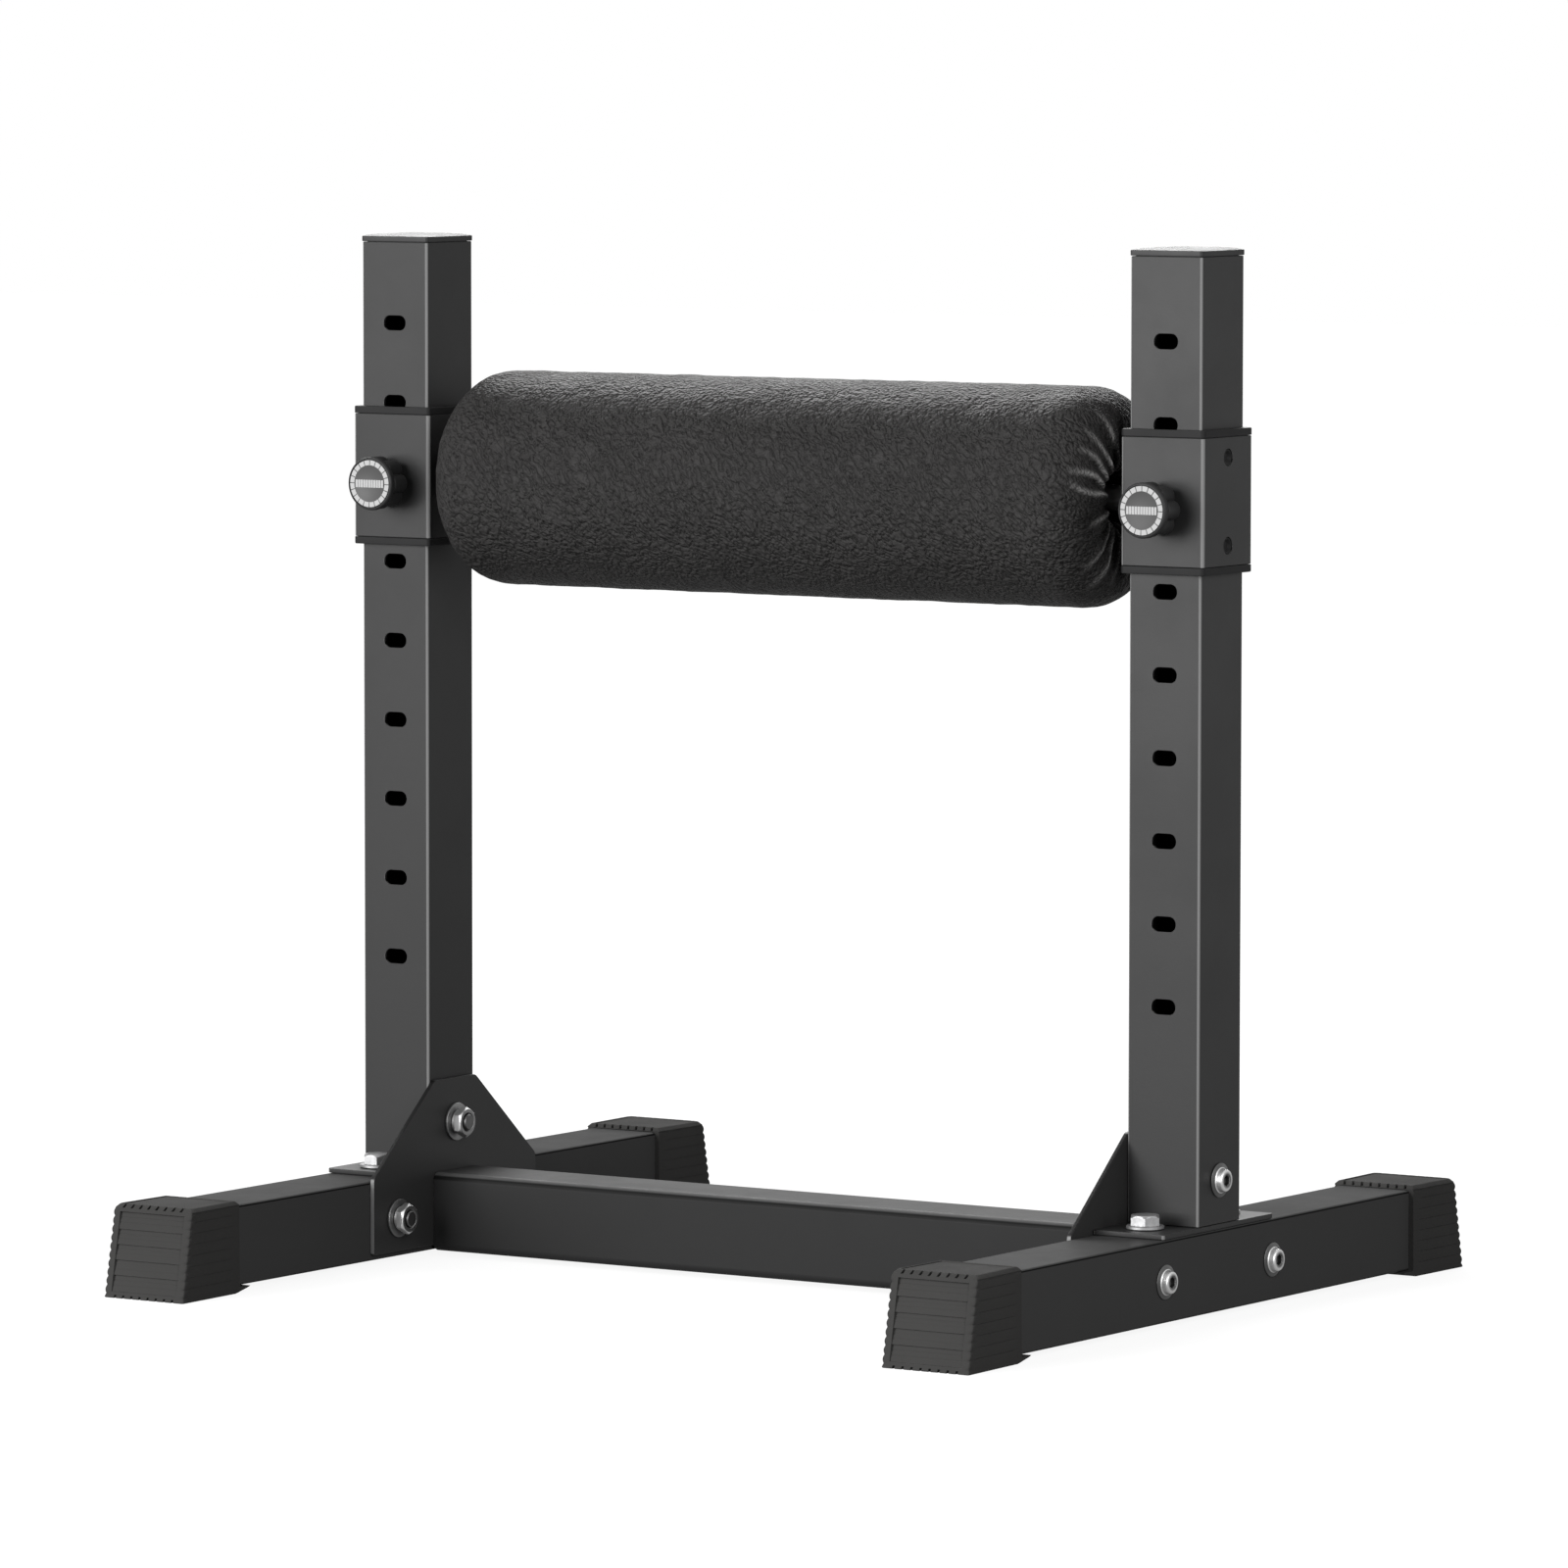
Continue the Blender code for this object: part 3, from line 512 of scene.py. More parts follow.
# the plates' coat: painted shade along the upper corners, a painted highlight on edges facing front
flangeFinish = dict(
    plainFinish, color=gray(0.0165), cloudColor=gray(0.0180),
    highCornerPaintedLight=gray(0.002), frontEdgeHighlight=gray(0.110), dust=0.0,
)
linerFinish = dict(plasticFinish, specular=0.04)
discFinish = dict(plasticFinish, color=gray(0.036), cloudColor=gray(0.041))
printFinish = dict(
    plasticFinish, color=gray(0.22), cloudColor=gray(0.25), edgeColor=gray(0.19), roughness=0.48,
)
# bolt heads: dark zinc, with a painted highlight on the steep body and the darker rest as painted shade
darkZincFinish = dict(
    zincFinish, color=gray(0.090), dullColor=gray(0.075), bodyHighlightColor=gray(0.50),
    roughness=0.38, dullRoughness=0.44,
)
# the nuts: the same painted highlight on the steep body
nutFinish = dict(
    zincFinish, color=gray(0.170), dullColor=gray(0.140), bodyHighlightColor=gray(0.48),
    roughness=0.38, dullRoughness=0.46,
)
plateZincFinish = dict(
    zincFinish, color=(0.26, 0.26, 0.263), dullColor=(0.20, 0.20, 0.202),
    roughness=0.48, dullRoughness=0.56,
)
wireFinish = dict(zincFinish, color=(0.30, 0.30, 0.31), roughness=0.24)

coat = makeCoat("satinPowderCoat", coatFinish)
plainCoat = makeCoat("plainPowderCoat", plainFinish)
baseCoat = makeCoat("flatPowderCoatPaintedLighter", baseFinish)
crossCoat = makeCoat("crossPowderCoat", crossFinish)
flangeCoat = makeCoat("platePowderCoat", flangeFinish)
rubber = makeCoat("mouldedRubber", rubberFinish, wear=0.35)
plastic = makeCoat("mouldedPlastic", plasticFinish, wear=0.25)
linerPlastic = makeCoat("linerPlastic", linerFinish, wear=0.25)
discFace = makeCoat("discFace", discFinish, wear=0.2)
printWhite = makeCoat("printWhite", printFinish, wear=0.3)
zinc = makeMetal("brightZinc", zincFinish)
darkZinc = makeMetal("darkZinc", darkZincFinish)
nutZinc = makeMetal("nutZinc", nutFinish)
plateZinc = makeMetal("plateZinc", plateZincFinish)
springSteel = makeMetal("springWire", wireFinish)
hide = makeHide("grainedHide", hideFinish)
print("materials made")


# Mesh helpers

def circlePoints(radius, count):
    return polarPoints(lambda angle: radius, count)


def polarPoints(radiusAt, count):
    angles = [math.tau * i / count for i in range(count)]
    return [(radiusAt(angle) * math.cos(angle), radiusAt(angle) * math.sin(angle)) for angle in angles]


def hexagonPoints(flats, reach, count=48):
    # a hexagon whose corners are turned down to a circle
    sector = math.tau / 6
    return polarPoints(lambda angle: min(flats / 2 / math.cos(angle % sector - sector / 2), reach), count)


def roundedBox(width, depth, radius, steps=6):
    points = []
    for corner in range(4):
        across = (width / 2 - radius) * (1 if corner in (0, 3) else -1)
        along = (depth / 2 - radius) * (1 if corner in (0, 1) else -1)
        for step in range(steps + 1):
            angle = math.tau / 4 * (corner + step / steps)
            points.append((across + radius * math.cos(angle), along + radius * math.sin(angle)))
    return points


def softened(points, radius, steps=3, closed=False):
    # rounds the corners of a polyline with small curves
    share = 0.45             # the most that a curve takes of a side
    points = [Vector(point) for point in points]
    result = []
    for i, point in enumerate(points):
        if not closed and i in (0, len(points) - 1):
            result.append(tuple(point))
            continue
        before, after = points[i - 1], points[(i + 1) % len(points)]
        size = radius[i] if isinstance(radius, (list, tuple)) else radius
        if size <= 0:
            result.append(tuple(point))
            continue
        start = point + (before - point).normalized() * min(size, (before - point).length * share)
        stop = point + (after - point).normalized() * min(size, (after - point).length * share)
        for step in range(steps + 1):
            t = step / steps
            result.append(tuple(start * (1 - t) ** 2 + point * 2 * t * (1 - t) + stop * t * t))
    return result


def bridge(bm, low, high):
    # faces between two loops of vertices
    for i in range(len(low)):
        j = (i + 1) % len(low)
        bm.faces.new((low[i], low[j], high[j], high[i]))


def loft(rings, ring=False):
    # a closed shape through rings of 3-D points, all with the same number
    bm = bmesh.new()
    loops = [[bm.verts.new(point) for point in points] for points in rings]
    if not ring:
        bm.faces.new(loops[0])
        bm.faces.new(loops[-1])
    following = loops[1:] + loops[:1] if ring else loops[1:]
    for low, high in zip(loops, following):
        bridge(bm, low, high)
    return bm


def stack(sections, ring=False):
    # sections are (outline, height)
    return loft([[(x, y, height) for x, y in outline] for outline, height in sections], ring)


def turned(profile, count, ring=False):
    # profile points are (radius, height)
    return stack([(circlePoints(radius, count), height) for radius, height in profile], ring)


def brokenLayers(low, high, edge):
    # how far a shape's outline is drawn in at each height, where its lower and upper edges are lightly broken
    steps = [(edge, 0), (edge * 0.3, edge * 0.3), (0, edge)]
    lower = [(inset, low + rise) for inset, rise in steps]
    return lower + [(inset, high - rise) for inset, rise in reversed(steps)]


def squarePipe(outside, inside, outerRadius, innerRadius, low, high):
    # a square tube with lightly broken edges at both ends
    edge = 0.0004
    bore = roundedBox(inside, inside, innerRadius)
    wide = roundedBox(inside + 2 * edge, inside + 2 * edge, innerRadius + edge)
    sections = [(bore, low + edge), (wide, low)]
    for inset, height in brokenLayers(low, high, edge):
        size = outside - 2 * inset
        sections.append((roundedBox(size, size, outerRadius - inset), height))
    return stack(sections + [(wide, high), (bore, high - edge)], ring=True)


def facing(place, toward=(0, 0, 1)):
    # turns a shape's own Z toward a direction and sets it at a place
    turn = Vector((0, 0, 1)).rotation_difference(Vector(toward)).to_matrix().to_4x4()
    return Matrix.Translation(place) @ turn


def addPiece(name, bm, material, body, nodes=(), at=None):
    if at:
        bm.transform(at)
    bmesh.ops.recalc_face_normals(bm, faces=bm.faces)
    mesh = bpy.data.meshes.new(name)
    bm.to_mesh(mesh)
    bm.free()
    mesh.materials.append(material)
    mesh.shade_smooth()
    mesh.set_sharp_from_angle(angle=sharpAngle)
    piece = bpy.data.objects.new(name, mesh)
    bpy.context.collection.objects.link(piece)
    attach(piece, body)
    if nodes:
        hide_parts(*nodes)
    return piece


def carve(piece, shapes, operation="DIFFERENCE"):
    # cuts the shapes, or joins them, and keeps the result as the piece's own mesh
    joined = bmesh.new()
    for bm, at in shapes:
        bm.transform(at)
        bmesh.ops.recalc_face_normals(bm, faces=bm.faces)
        part = bpy.data.meshes.new("part")
        bm.to_mesh(part)
        bm.free()
        joined.from_mesh(part)
        bpy.data.meshes.remove(part)
    mesh = bpy.data.meshes.new("cutter")
    joined.to_mesh(mesh)
    joined.free()
    cutter = bpy.data.objects.new("cutter", mesh)
    bpy.context.collection.objects.link(cutter)
    change = piece.modifiers.new("cut", "BOOLEAN")
    change.operation = operation
    change.solver = "EXACT"
    change.object = cutter
    settle(piece)
    bpy.data.objects.remove(cutter, do_unlink=True)
    bpy.data.meshes.remove(mesh)


def settle(piece):
    # applies the piece's modifiers
    graph = bpy.context.evaluated_depsgraph_get()
    result = bpy.data.meshes.new_from_object(piece.evaluated_get(graph))
    old = piece.data
    piece.modifiers.clear()
    piece.data = result
    bpy.data.meshes.remove(old)
    result.name = piece.name


def evenShading(piece):
    piece.modifiers.new("evenShading", "WEIGHTED_NORMAL").keep_sharp = True


def breakEdges(piece, width):
    bevel = piece.modifiers.new("brokenEdges", "BEVEL")
    bevel.width = width
    bevel.segments = 2
    bevel.limit_method = "ANGLE"
    bevel.angle_limit = sharpAngle
    bevel.harden_normals = False
    evenShading(piece)


def span(node):
    low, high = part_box(node)
    return Vector(low), Vector(high)


def middleOf(node):
    low, high = span(node)
    return (low + high) / 2


# Frame tubes

fitGap = 0.0003              # between pieces that touch or slide
tubeShape = {
    "wall": 0.002, "corner": 0.0019, "crossCorner": 0.0052, "leastCorner": 0.0004, "holeRadius": 0.0055,
}
postX = middleOf("upright_right").x
tubeSize = span("base_tube_right")[1].x - span("base_tube_right")[0].x
throughTube = tubeSize * 1.4     # length of a cutter that goes through both walls of a tube
throughWall = 0.012              # and of one that goes through a single wall or plate
boltY = abs(middleOf("flange_bolt_front_right").y)
baseBoltZ = middleOf("flange_bolt_front_right").z
postBoltZ = middleOf("flange_bolt_post_right").z
plateBoltY = abs(middleOf("plate_bolt_front_right").y)


def squareTube(low, high, corner):
    wall = tubeShape["wall"]
    inner = max(corner - wall, tubeShape["leastCorner"])
    return squarePipe(tubeSize, tubeSize - 2 * wall, corner, inner, low, high)


def roundCutter(radius, length):
    return turned([(radius, -length / 2), (radius, length / 2)], 32)


def boltCutter(length):
    return roundCutter(tubeShape["holeRadius"], length)


def addBaseTube(side):
    node = f"base_tube_{side}"
    low, high = span(node)
    middle = (low + high) / 2
    half = (high.y - low.y) / 2
    bm = squareTube(-half, half, tubeShape["corner"])
    at = facing(middle, (0, 1, 0))
    tube = addPiece(f"{side}_base_tube", bm, baseCoat, "frame", (node,), at)
    cuts = []
    for end in ends.values():
        cuts.append((boltCutter(throughTube), facing((middle.x, end * boltY, middle.z), (1, 0, 0))))
        cuts.append((boltCutter(throughWall), facing((middle.x, end * plateBoltY, high.z))))
    carve(tube, cuts)
    evenShading(tube)


def addCrossTube():
    low, high = span("cross_tube")
    bm = squareTube(low.x, high.x, tubeShape["crossCorner"])
    at = facing((0, 0, (low.z + high.z) / 2), (1, 0, 0))
    evenShading(addPiece("cross_rail", bm, crossCoat, "frame", ("cross_tube",), at))


slotShape = {
    "width": 0.017, "height": 0.0093, "corner": 0.0046, "edge": 0.0004,
    "first": 0.1895, "pitch": 0.050, "count": 9,
}


def addPost(side, sign):
    node = f"upright_{side}"
    shape = slotShape
    low, high = span(node)
    bm = squareTube(low.z, high.z, tubeShape["corner"])
    post = addPiece(f"{side}_post", bm, coat, "frame", (node,), facing((sign * postX, 0, 0)))
    slot = roundedBox(shape["width"], shape["height"], shape["corner"], steps=7)
    cuts = [(boltCutter(throughTube), facing((sign * postX, 0, postBoltZ), (1, 0, 0)))]
    for number in range(shape["count"]):
        place = Matrix.Translation((sign * postX, low.y, shape["first"] + shape["pitch"] * number))
        # the outline's first axis has to lie along X, so it is turned by hand
        turn = Matrix.Rotation(math.radians(90), 4, "X")
        cuts.append((stack([(slot, -throughWall / 2), (slot, throughWall / 2)]), place @ turn))
    carve(post, cuts)
    breakEdges(post, shape["edge"])


capShape = {"plugWall": 0.002, "plugCorner": 0.001, "headHeight": 0.005, "rise": 0.0015, "peak": 0.025}


def addCap(side, sign):
    node = f"upright_cap_{side}"
    low, high = span(node)
    width = high.x - low.x
    plug = tubeSize - 2 * tubeShape["wall"] - 2 * fitGap
    hollow = plug - 2 * capShape["plugWall"]
    corner, peak, rise = capShape["plugCorner"], capShape["peak"], capShape["rise"]
    seat, brow = high.z - capShape["headHeight"], high.z - rise
    # (width, corner rounding, height) from inside the plug to the flat peak
    profile = [
        (hollow, corner, seat), (hollow, corner, low.z), (plug, corner, low.z), (plug, corner, seat),
        (width - 0.0008, 0.0019, seat), (width - 0.0002, 0.0022, seat + 0.0002),
        (width, 0.0023, seat + 0.0007), (width, 0.0023, brow - 0.0006),
        (width - 0.0003, 0.0022, brow - 0.0002), (width - 0.0010, 0.0020, brow),
        (width - 0.0080, 0.0030, high.z - rise * 0.42),
        (peak + 0.004, 0.0040, high.z - rise * 0.06), (peak - 0.004, 0.0050, high.z),
    ]
    bm = stack([(roundedBox(size, size, radius), height) for size, radius, height in profile])
    at = facing((sign * postX, 0, 0))
    evenShading(addPiece(f"{side}_post_cap", bm, plastic, "frame", (node,), at))


plateShape = {"corner": 0.0022, "edge": 0.0005}


def addFootPlate(side, sign):
    node = f"upright_foot_plate_{side}"
    low, high = span(node)
    size = high - low
    sections = []
    for inset, height in brokenLayers(low.z, high.z, plateShape["edge"]):
        outline = roundedBox(size.x - 2 * inset, size.y - 2 * inset, plateShape["corner"] - inset)
        sections.append((outline, height))
    at = facing((sign * postX, 0, 0))
    plate = addPiece(f"{side}_foot_plate", stack(sections), coat, "frame", (node,), at)
    places = [(sign * postX, end * plateBoltY, low.z) for end in ends.values()]
    carve(plate, [(boltCutter(throughWall), facing(place)) for place in places])
    evenShading(plate)


flangeShape = {"topHalf": 0.0225, "shoulder": 0.0555, "corner": 0.0022, "edge": 0.0005}


def addFlange(side):
    node = f"cross_flange_{side}"
    low, high = span(node)
    half, narrow = high.y, flangeShape["topHalf"]
    corners = [
        (half, low.z), (half, flangeShape["shoulder"]), (narrow, high.z),
        (-narrow, high.z), (-half, flangeShape["shoulder"]), (-half, low.z),
    ]
    middle = Vector((0, (low.z + high.z) / 2))

    def outline(inset):
        shrunk = []
        for y, z in softened(corners, flangeShape["corner"], steps=5, closed=True):
            away = (Vector((y, z)) - middle).normalized() * inset
            shrunk.append((y - away.x, z - away.y))
        return shrunk

    layers = brokenLayers(low.x, high.x, flangeShape["edge"])
    bm = loft([[(x, y, z) for y, z in outline(inset)] for inset, x in layers])
    plate = addPiece(f"{side}_joint_plate", bm, flangeCoat, "frame", (node,))
    x = (low.x + high.x) / 2
    places = [(x, -boltY, baseBoltZ), (x, boltY, baseBoltZ), (x, 0, postBoltZ)]
    carve(plate, [(boltCutter(throughWall), facing(place, (1, 0, 0))) for place in places])
    evenShading(plate)


addCrossTube()
for side, sign in sides.items():
    addBaseTube(side)
    addPost(side, sign)
    addCap(side, sign)
    addFootPlate(side, sign)
    addFlange(side)
print("frame tubes and plates made")


# Rubber feet

footShape = {
    "mouth": 0.2318,         # distance of the foot's mouth from the middle
    "roof": 0.057,
    "topHalf": 0.0282,       # half its width at the mouth
    "spread": 0.0016,        # how much further out its sides stand at the end
    "flare": 0.0004,
    "topReach": 0.0506,
    "toe": 0.0106,
    "corner": 0.0014,
    "soleLift": 0.0036,      # the tongue under the tube
    "soleFlat": 0.0035,      # where the sole starts to rise, ahead of the mouth
    "tongue": 0.0110,        # how far the tongue runs behind the mouth
    "roomDepth": 0.0460,     # of the room that the tube's end fills
    "chamfer": 0.0022,
    "panelInset": 0.0056,
    "slats": (0.0040, 0.0139, 0.0232, 0.0325, 0.0418, 0.0524),
    "slatDepth": (0.0007, 0.0020),               # at a slat's foot and at its head
    "sideLines": (0.0022, 0.0089, 0.0155, 0.0222, 0.0288, 0.0355, 0.0422, 0.0489, 0.0535),
    "sideDepth": 0.0007,
    "scallopPitch": 0.0052,
    "scallopDepth": 0.0011,
    "notches": 8,
    "notchPitch": 0.0062,
    "notchWidth": 0.0018,
}


def groove(distance, width, depth):
    # a soft V
    t = min(abs(distance) / (width / 2), 1.0)
    return depth * (1 - t) ** 1.3 if t < 1 else 0.0


def soleEdge(z):
    # where the foot's rear edge lies at each height: a soft S under the tube
    shape = footShape
    if z >= shape["soleLift"] + 0.00005:
        return 0.0
    t = z / shape["soleLift"]
    smooth = t * t * (3 - 2 * t)
    return shape["soleFlat"] - (shape["soleFlat"] + shape["tongue"]) * (0.35 * t + 0.65 * smooth)


def slatAt(z, lines):
    # the way up the slat that holds this height, 0 to 1, and the slat's own height
    for low, high in zip(lines, lines[1:]):
        if low <= z < high:
            return (z - low) / (high - low), high - low
    return None, 0.0


def frontCarving(x, z, half):
    # overlapping slats, each deepest at its head
    shape = footShape
    way, size = slatAt(z, shape["slats"])
    if way is None or abs(x) > half - shape["panelInset"] - 1e-6:
        return 0.0
    shallow, deep = shape["slatDepth"]
    faint = sum(groove((way - share) * size, 0.0014, 0.0003) for share in (0.36, 0.66))
    return shallow + (deep - shallow) * way ** 1.4 + faint


def sideCarving(along, z, front):
    shape = footShape
    start, stop = 0.0060, front - 0.0040
    fade = max(0.0, min(1.0, (along - start) / 0.002)) * max(0.0, min(1.0, (stop - along) / 0.002))
    under = groove(z - shape["roof"] + shape["chamfer"] + 0.0010, 0.0016, 0.0006)
    way, _ = slatAt(z, shape["sideLines"])
    if fade <= 0 or way is None:
        return under
    return max(under, fade * shape["sideDepth"] * way ** 2.2)


def scallop(z):
    # round lobes with narrow nicks between them
    shape = footShape
    return shape["scallopDepth"] * (1 - abs(math.cos(math.pi * z / shape["scallopPitch"])) ** 0.8)


def footRing(z):
    shape = footShape
    rise = min(z / shape["roof"], 1.0)
    front = shape["topReach"] + shape["toe"] * (1 - rise)
    rear = soleEdge(z)
    radius = shape["corner"]
    bite = scallop(z)

    def halfAt(along):
        return shape["topHalf"] + shape["flare"] * (1 - rise) + shape["spread"] * along / front

    half = halfAt(front)
    rightSide, corner = [], []
    stops = [0, 0.02, 0.05, 0.08, 0.12]
    stops += [0.12 + 0.76 * k / 12 for k in range(1, 12)]
    stops += [0.88, 0.92, 0.96, 1.0]
    for share in stops:
        along = rear + (front - radius - rear) * share
        near = max(0.0, 1 - (front - radius - along) / 0.0024) ** 1.5
        rightSide.append((halfAt(along) - sideCarving(along, z, front) - near * bite * 0.7, along))
    for step in range(1, 5):
        angle = math.tau / 4 * step / 4
        reach = radius - bite * 0.9
        corner.append((half - radius + reach * math.cos(angle), front - radius + reach * math.sin(angle)))
    inside = half - shape["panelInset"]
    frontHalf = []
    xs = [half - radius - 0.0006, half - radius - 0.0016, inside + 0.0009, inside + 0.0002, inside - 0.0002]
    xs += [(inside - 0.0002) * (1 - k / 9) for k in range(1, 9)]
    for x in xs:
        near = max(0.0, 1 - (half - radius - x) / 0.0030) ** 1.5
        frontHalf.append((x, front - frontCarving(x, z, half) - near * bite * 0.7))
    right = rightSide + corner + frontHalf
    centre = [(0.0, front - frontCarving(0, z, half))]
    left = [(-x, y) for x, y in reversed(right)]
    back = halfAt(rear)
    rearEdge = [(-back + 2 * back * k / 8, rear) for k in range(1, 8)]
    return [(x, y, z) for x, y in right + centre + left + rearEdge]


def shrunkRing(points, inset, height):
    # the ring drawn in toward its middle
    lowX, highX = min(p[0] for p in points), max(p[0] for p in points)
    lowY, highY = min(p[1] for p in points), max(p[1] for p in points)
    middleX, middleY = (lowX + highX) / 2, (lowY + highY) / 2
    scaleX, scaleY = 1 - 2 * inset / (highX - lowX), 1 - 2 * inset / (highY - lowY)
    drawn = [(middleX + (x - middleX) * scaleX, middleY + (y - middleY) * scaleY) for x, y, _ in points]
    return [(x, y, height) for x, y in drawn]


def footHeights():
    shape = footShape
    stops = {0.0, 0.0006, 0.0012, 0.0018, 0.0024, 0.0030, shape["soleLift"], shape["soleLift"] + 0.00006}
    steps = 116
    low, high = 0.0040, shape["roof"] - shape["chamfer"]
    for k in range(steps + 1):
        stops.add(round(low + (high - low) * k / steps, 6))
    for height in shape["slats"] + shape["sideLines"]:
        if low <= height < high:
            stops = {stop for stop in stops if abs(stop - height) > 0.00018}
            stops.update((round(height - 0.00006, 6), round(height + 0.00006, 6)))
    return sorted(stops)


def addFoot(side, sign, end, direction):
    shape = footShape
    roof, chamfer = shape["roof"], shape["chamfer"]
    rings = [footRing(z) for z in footHeights()]
    rings[0] = [(x, y, 0.0004) for x, y, _ in rings[0]]
    rings.insert(0, shrunkRing(rings[0], 0.0005, 0.0))
    top = footRing(roof - chamfer)
    # the chamfer round the top, a narrow rim, and the pebbled field inside it
    for inset, drop in ((chamfer * 0.85, 0.0003), (chamfer, 0.0001), (chamfer + 0.0004, 0.0),
                        (chamfer + 0.0012, 0.0), (chamfer + 0.0015, 0.0004), (chamfer + 0.0016, 0.0006)):
        rings.append(shrunkRing(top, inset, roof - drop))
    place = Matrix.Translation((sign * postX, direction * shape["mouth"], 0))
    place @= Matrix.Diagonal((1, direction, 1, 1))
    node = f"foot_{end}_{side}"
    foot = addPiece(f"{side}_{end}_foot", loft(rings), rubber, "frame", (node,), place)
    room = roundedBox(tubeSize + 2 * fitGap, tubeSize + 2 * fitGap, tubeShape["corner"] + fitGap)
    middle = (sign * postX, direction * shape["mouth"], middleOf(f"base_tube_{side}").z)
    # the room starts well behind the tongue
    cuts = [(stack([(room, -0.030), (room, shape["roomDepth"])]), facing(middle, (0, direction, 0)))]
    for number in range(shape["notches"]):
        x = (number - (shape["notches"] - 1) / 2) * shape["notchPitch"]
        cuts += [(notchCutter(x, *notch), place) for notch in notchSpans()]
    carve(foot, cuts)
    foot.data.shade_smooth()
    foot.data.set_sharp_from_angle(angle=sharpAngle)


def notchSpans():
    # (low, high, back, front, lean) of the nicks along the roof's front edge, its mouth and the toe
    shape = footShape
    roof, reach = shape["roof"], shape["topReach"]
    toe = reach + shape["toe"]
    return (
        (roof - 0.0024, roof + 0.001, reach - 0.0026, reach + 0.004, 0.0012),
        (roof - 0.0024, roof + 0.001, -0.004, 0.0030, -0.0012),
        (-0.001, 0.0020, toe - 0.0018, toe + 0.004, 0.0006),
    )


def notchCutter(x, low, high, back, front, lean):
    half = footShape["notchWidth"] / 2
    rings = []
    for z, middle in ((low, x - lean / 2), (high, x + lean / 2)):
        left, right = middle - half, middle + half
        rings.append([(left, back, z), (right, back, z), (right, front, z), (left, front, z)])
    return loft(rings)


for side, sign in sides.items():
    for end, direction in ends.items():
        addFoot(side, sign, end, direction)
print("feet made")


# Bolts, washers and nuts

frameBolt = {
    "shank": 0.005, "rim": 0.0105, "rimHeight": 0.0009, "neck": 0.0074, "neckHeight": 0.0017,
    "body": 0.0066, "height": 0.0055, "socket": 0.006, "socketDepth": 0.003, "facets": 48,
}


def markPaintedHeadLight(piece, at, low, high, inner):
    # marks where the finish paints a head bright, as a painted highlight on its steep body; its flange and
    # flat end keep the darker colour, as painted shade
    polished = piece.data.attributes.new("polished", "FLOAT", "POINT")
    back = at.inverted()
    for vertex, mark in zip(piece.data.vertices, polished.data):
        place = back @ vertex.co
        mark.value = float(low <= place.z <= high and math.hypot(place.x, place.y) >= inner)


def addFrameBolt(name, node, at, grip):
    # a wide thin flange, a steep round body, and a flat top with a socket
    shape = frameBolt
    count = shape["facets"]
    seat = 0.0003
    profile = [(shape["shank"] - 0.0006, -grip), (shape["shank"], -grip + 0.0006), (shape["shank"], seat)]
    head = [(shape["rim"] - 0.0004, seat), (shape["rim"], seat), (shape["rim"], shape["rimHeight"]),
            (shape["neck"], shape["neckHeight"]), (shape["body"], shape["height"]), (0.0040, shape["height"])]
    profile += softened(head, (0, 0.0003, 0.0006, 0.0006, 0.0012, 0), steps=6)
    sections = [(circlePoints(radius, count), height) for radius, height in profile]
    top = shape["height"]
    flats = shape["socket"]
    sections += [
        (hexagonPoints(flats + 0.0006, 0.0040, count), top - 0.0002),
        (hexagonPoints(flats, 1, count), top - 0.0006),
        (hexagonPoints(flats, 1, count), top - shape["socketDepth"]),
        (circlePoints(0.0006, count), top - shape["socketDepth"] - 0.0008),
    ]
    bolt = addPiece(name, stack(sections), darkZinc, "frame", (node,), at)
    markPaintedHeadLight(bolt, at, shape["neckHeight"] - 0.0001, top + 0.0001, shape["body"] - 0.0013)


def hexHeadSections(flats, low, high, chamfer, count=48):
    # hexagon with its top corners turned down
    reach = flats / 2 / math.cos(math.tau / 12)
    sections = [(hexagonPoints(flats, reach, count), low)]
    steps = 6
    for step in range(steps + 1):
        t = step / steps
        cap = reach + (flats / 2 - 0.0003 - reach) * t
        sections.append((hexagonPoints(flats, cap, count), high - chamfer * (1 - t ** 1.5)))
    return sections


washerShape = {"radius": 0.012, "hole": 0.0053, "thick": 0.0015, "edge": 0.0003}


def addWasher(name, node, at):
    shape = washerShape
    hole, radius, thick = shape["hole"], shape["radius"], shape["thick"]
    corners = [(hole, 0), (radius, 0), (radius, thick), (hole, thick)]
    profile = softened(corners, shape["edge"], closed=True)
    addPiece(name, turned(profile, 56, ring=True), nutZinc, "frame", (node,), at)


nutShape = {
    "flats": 0.017, "hole": 0.0053, "height": 0.0075, "neck": 0.0076, "neckHeight": 0.0021, "chamfer": 0.0012,
}


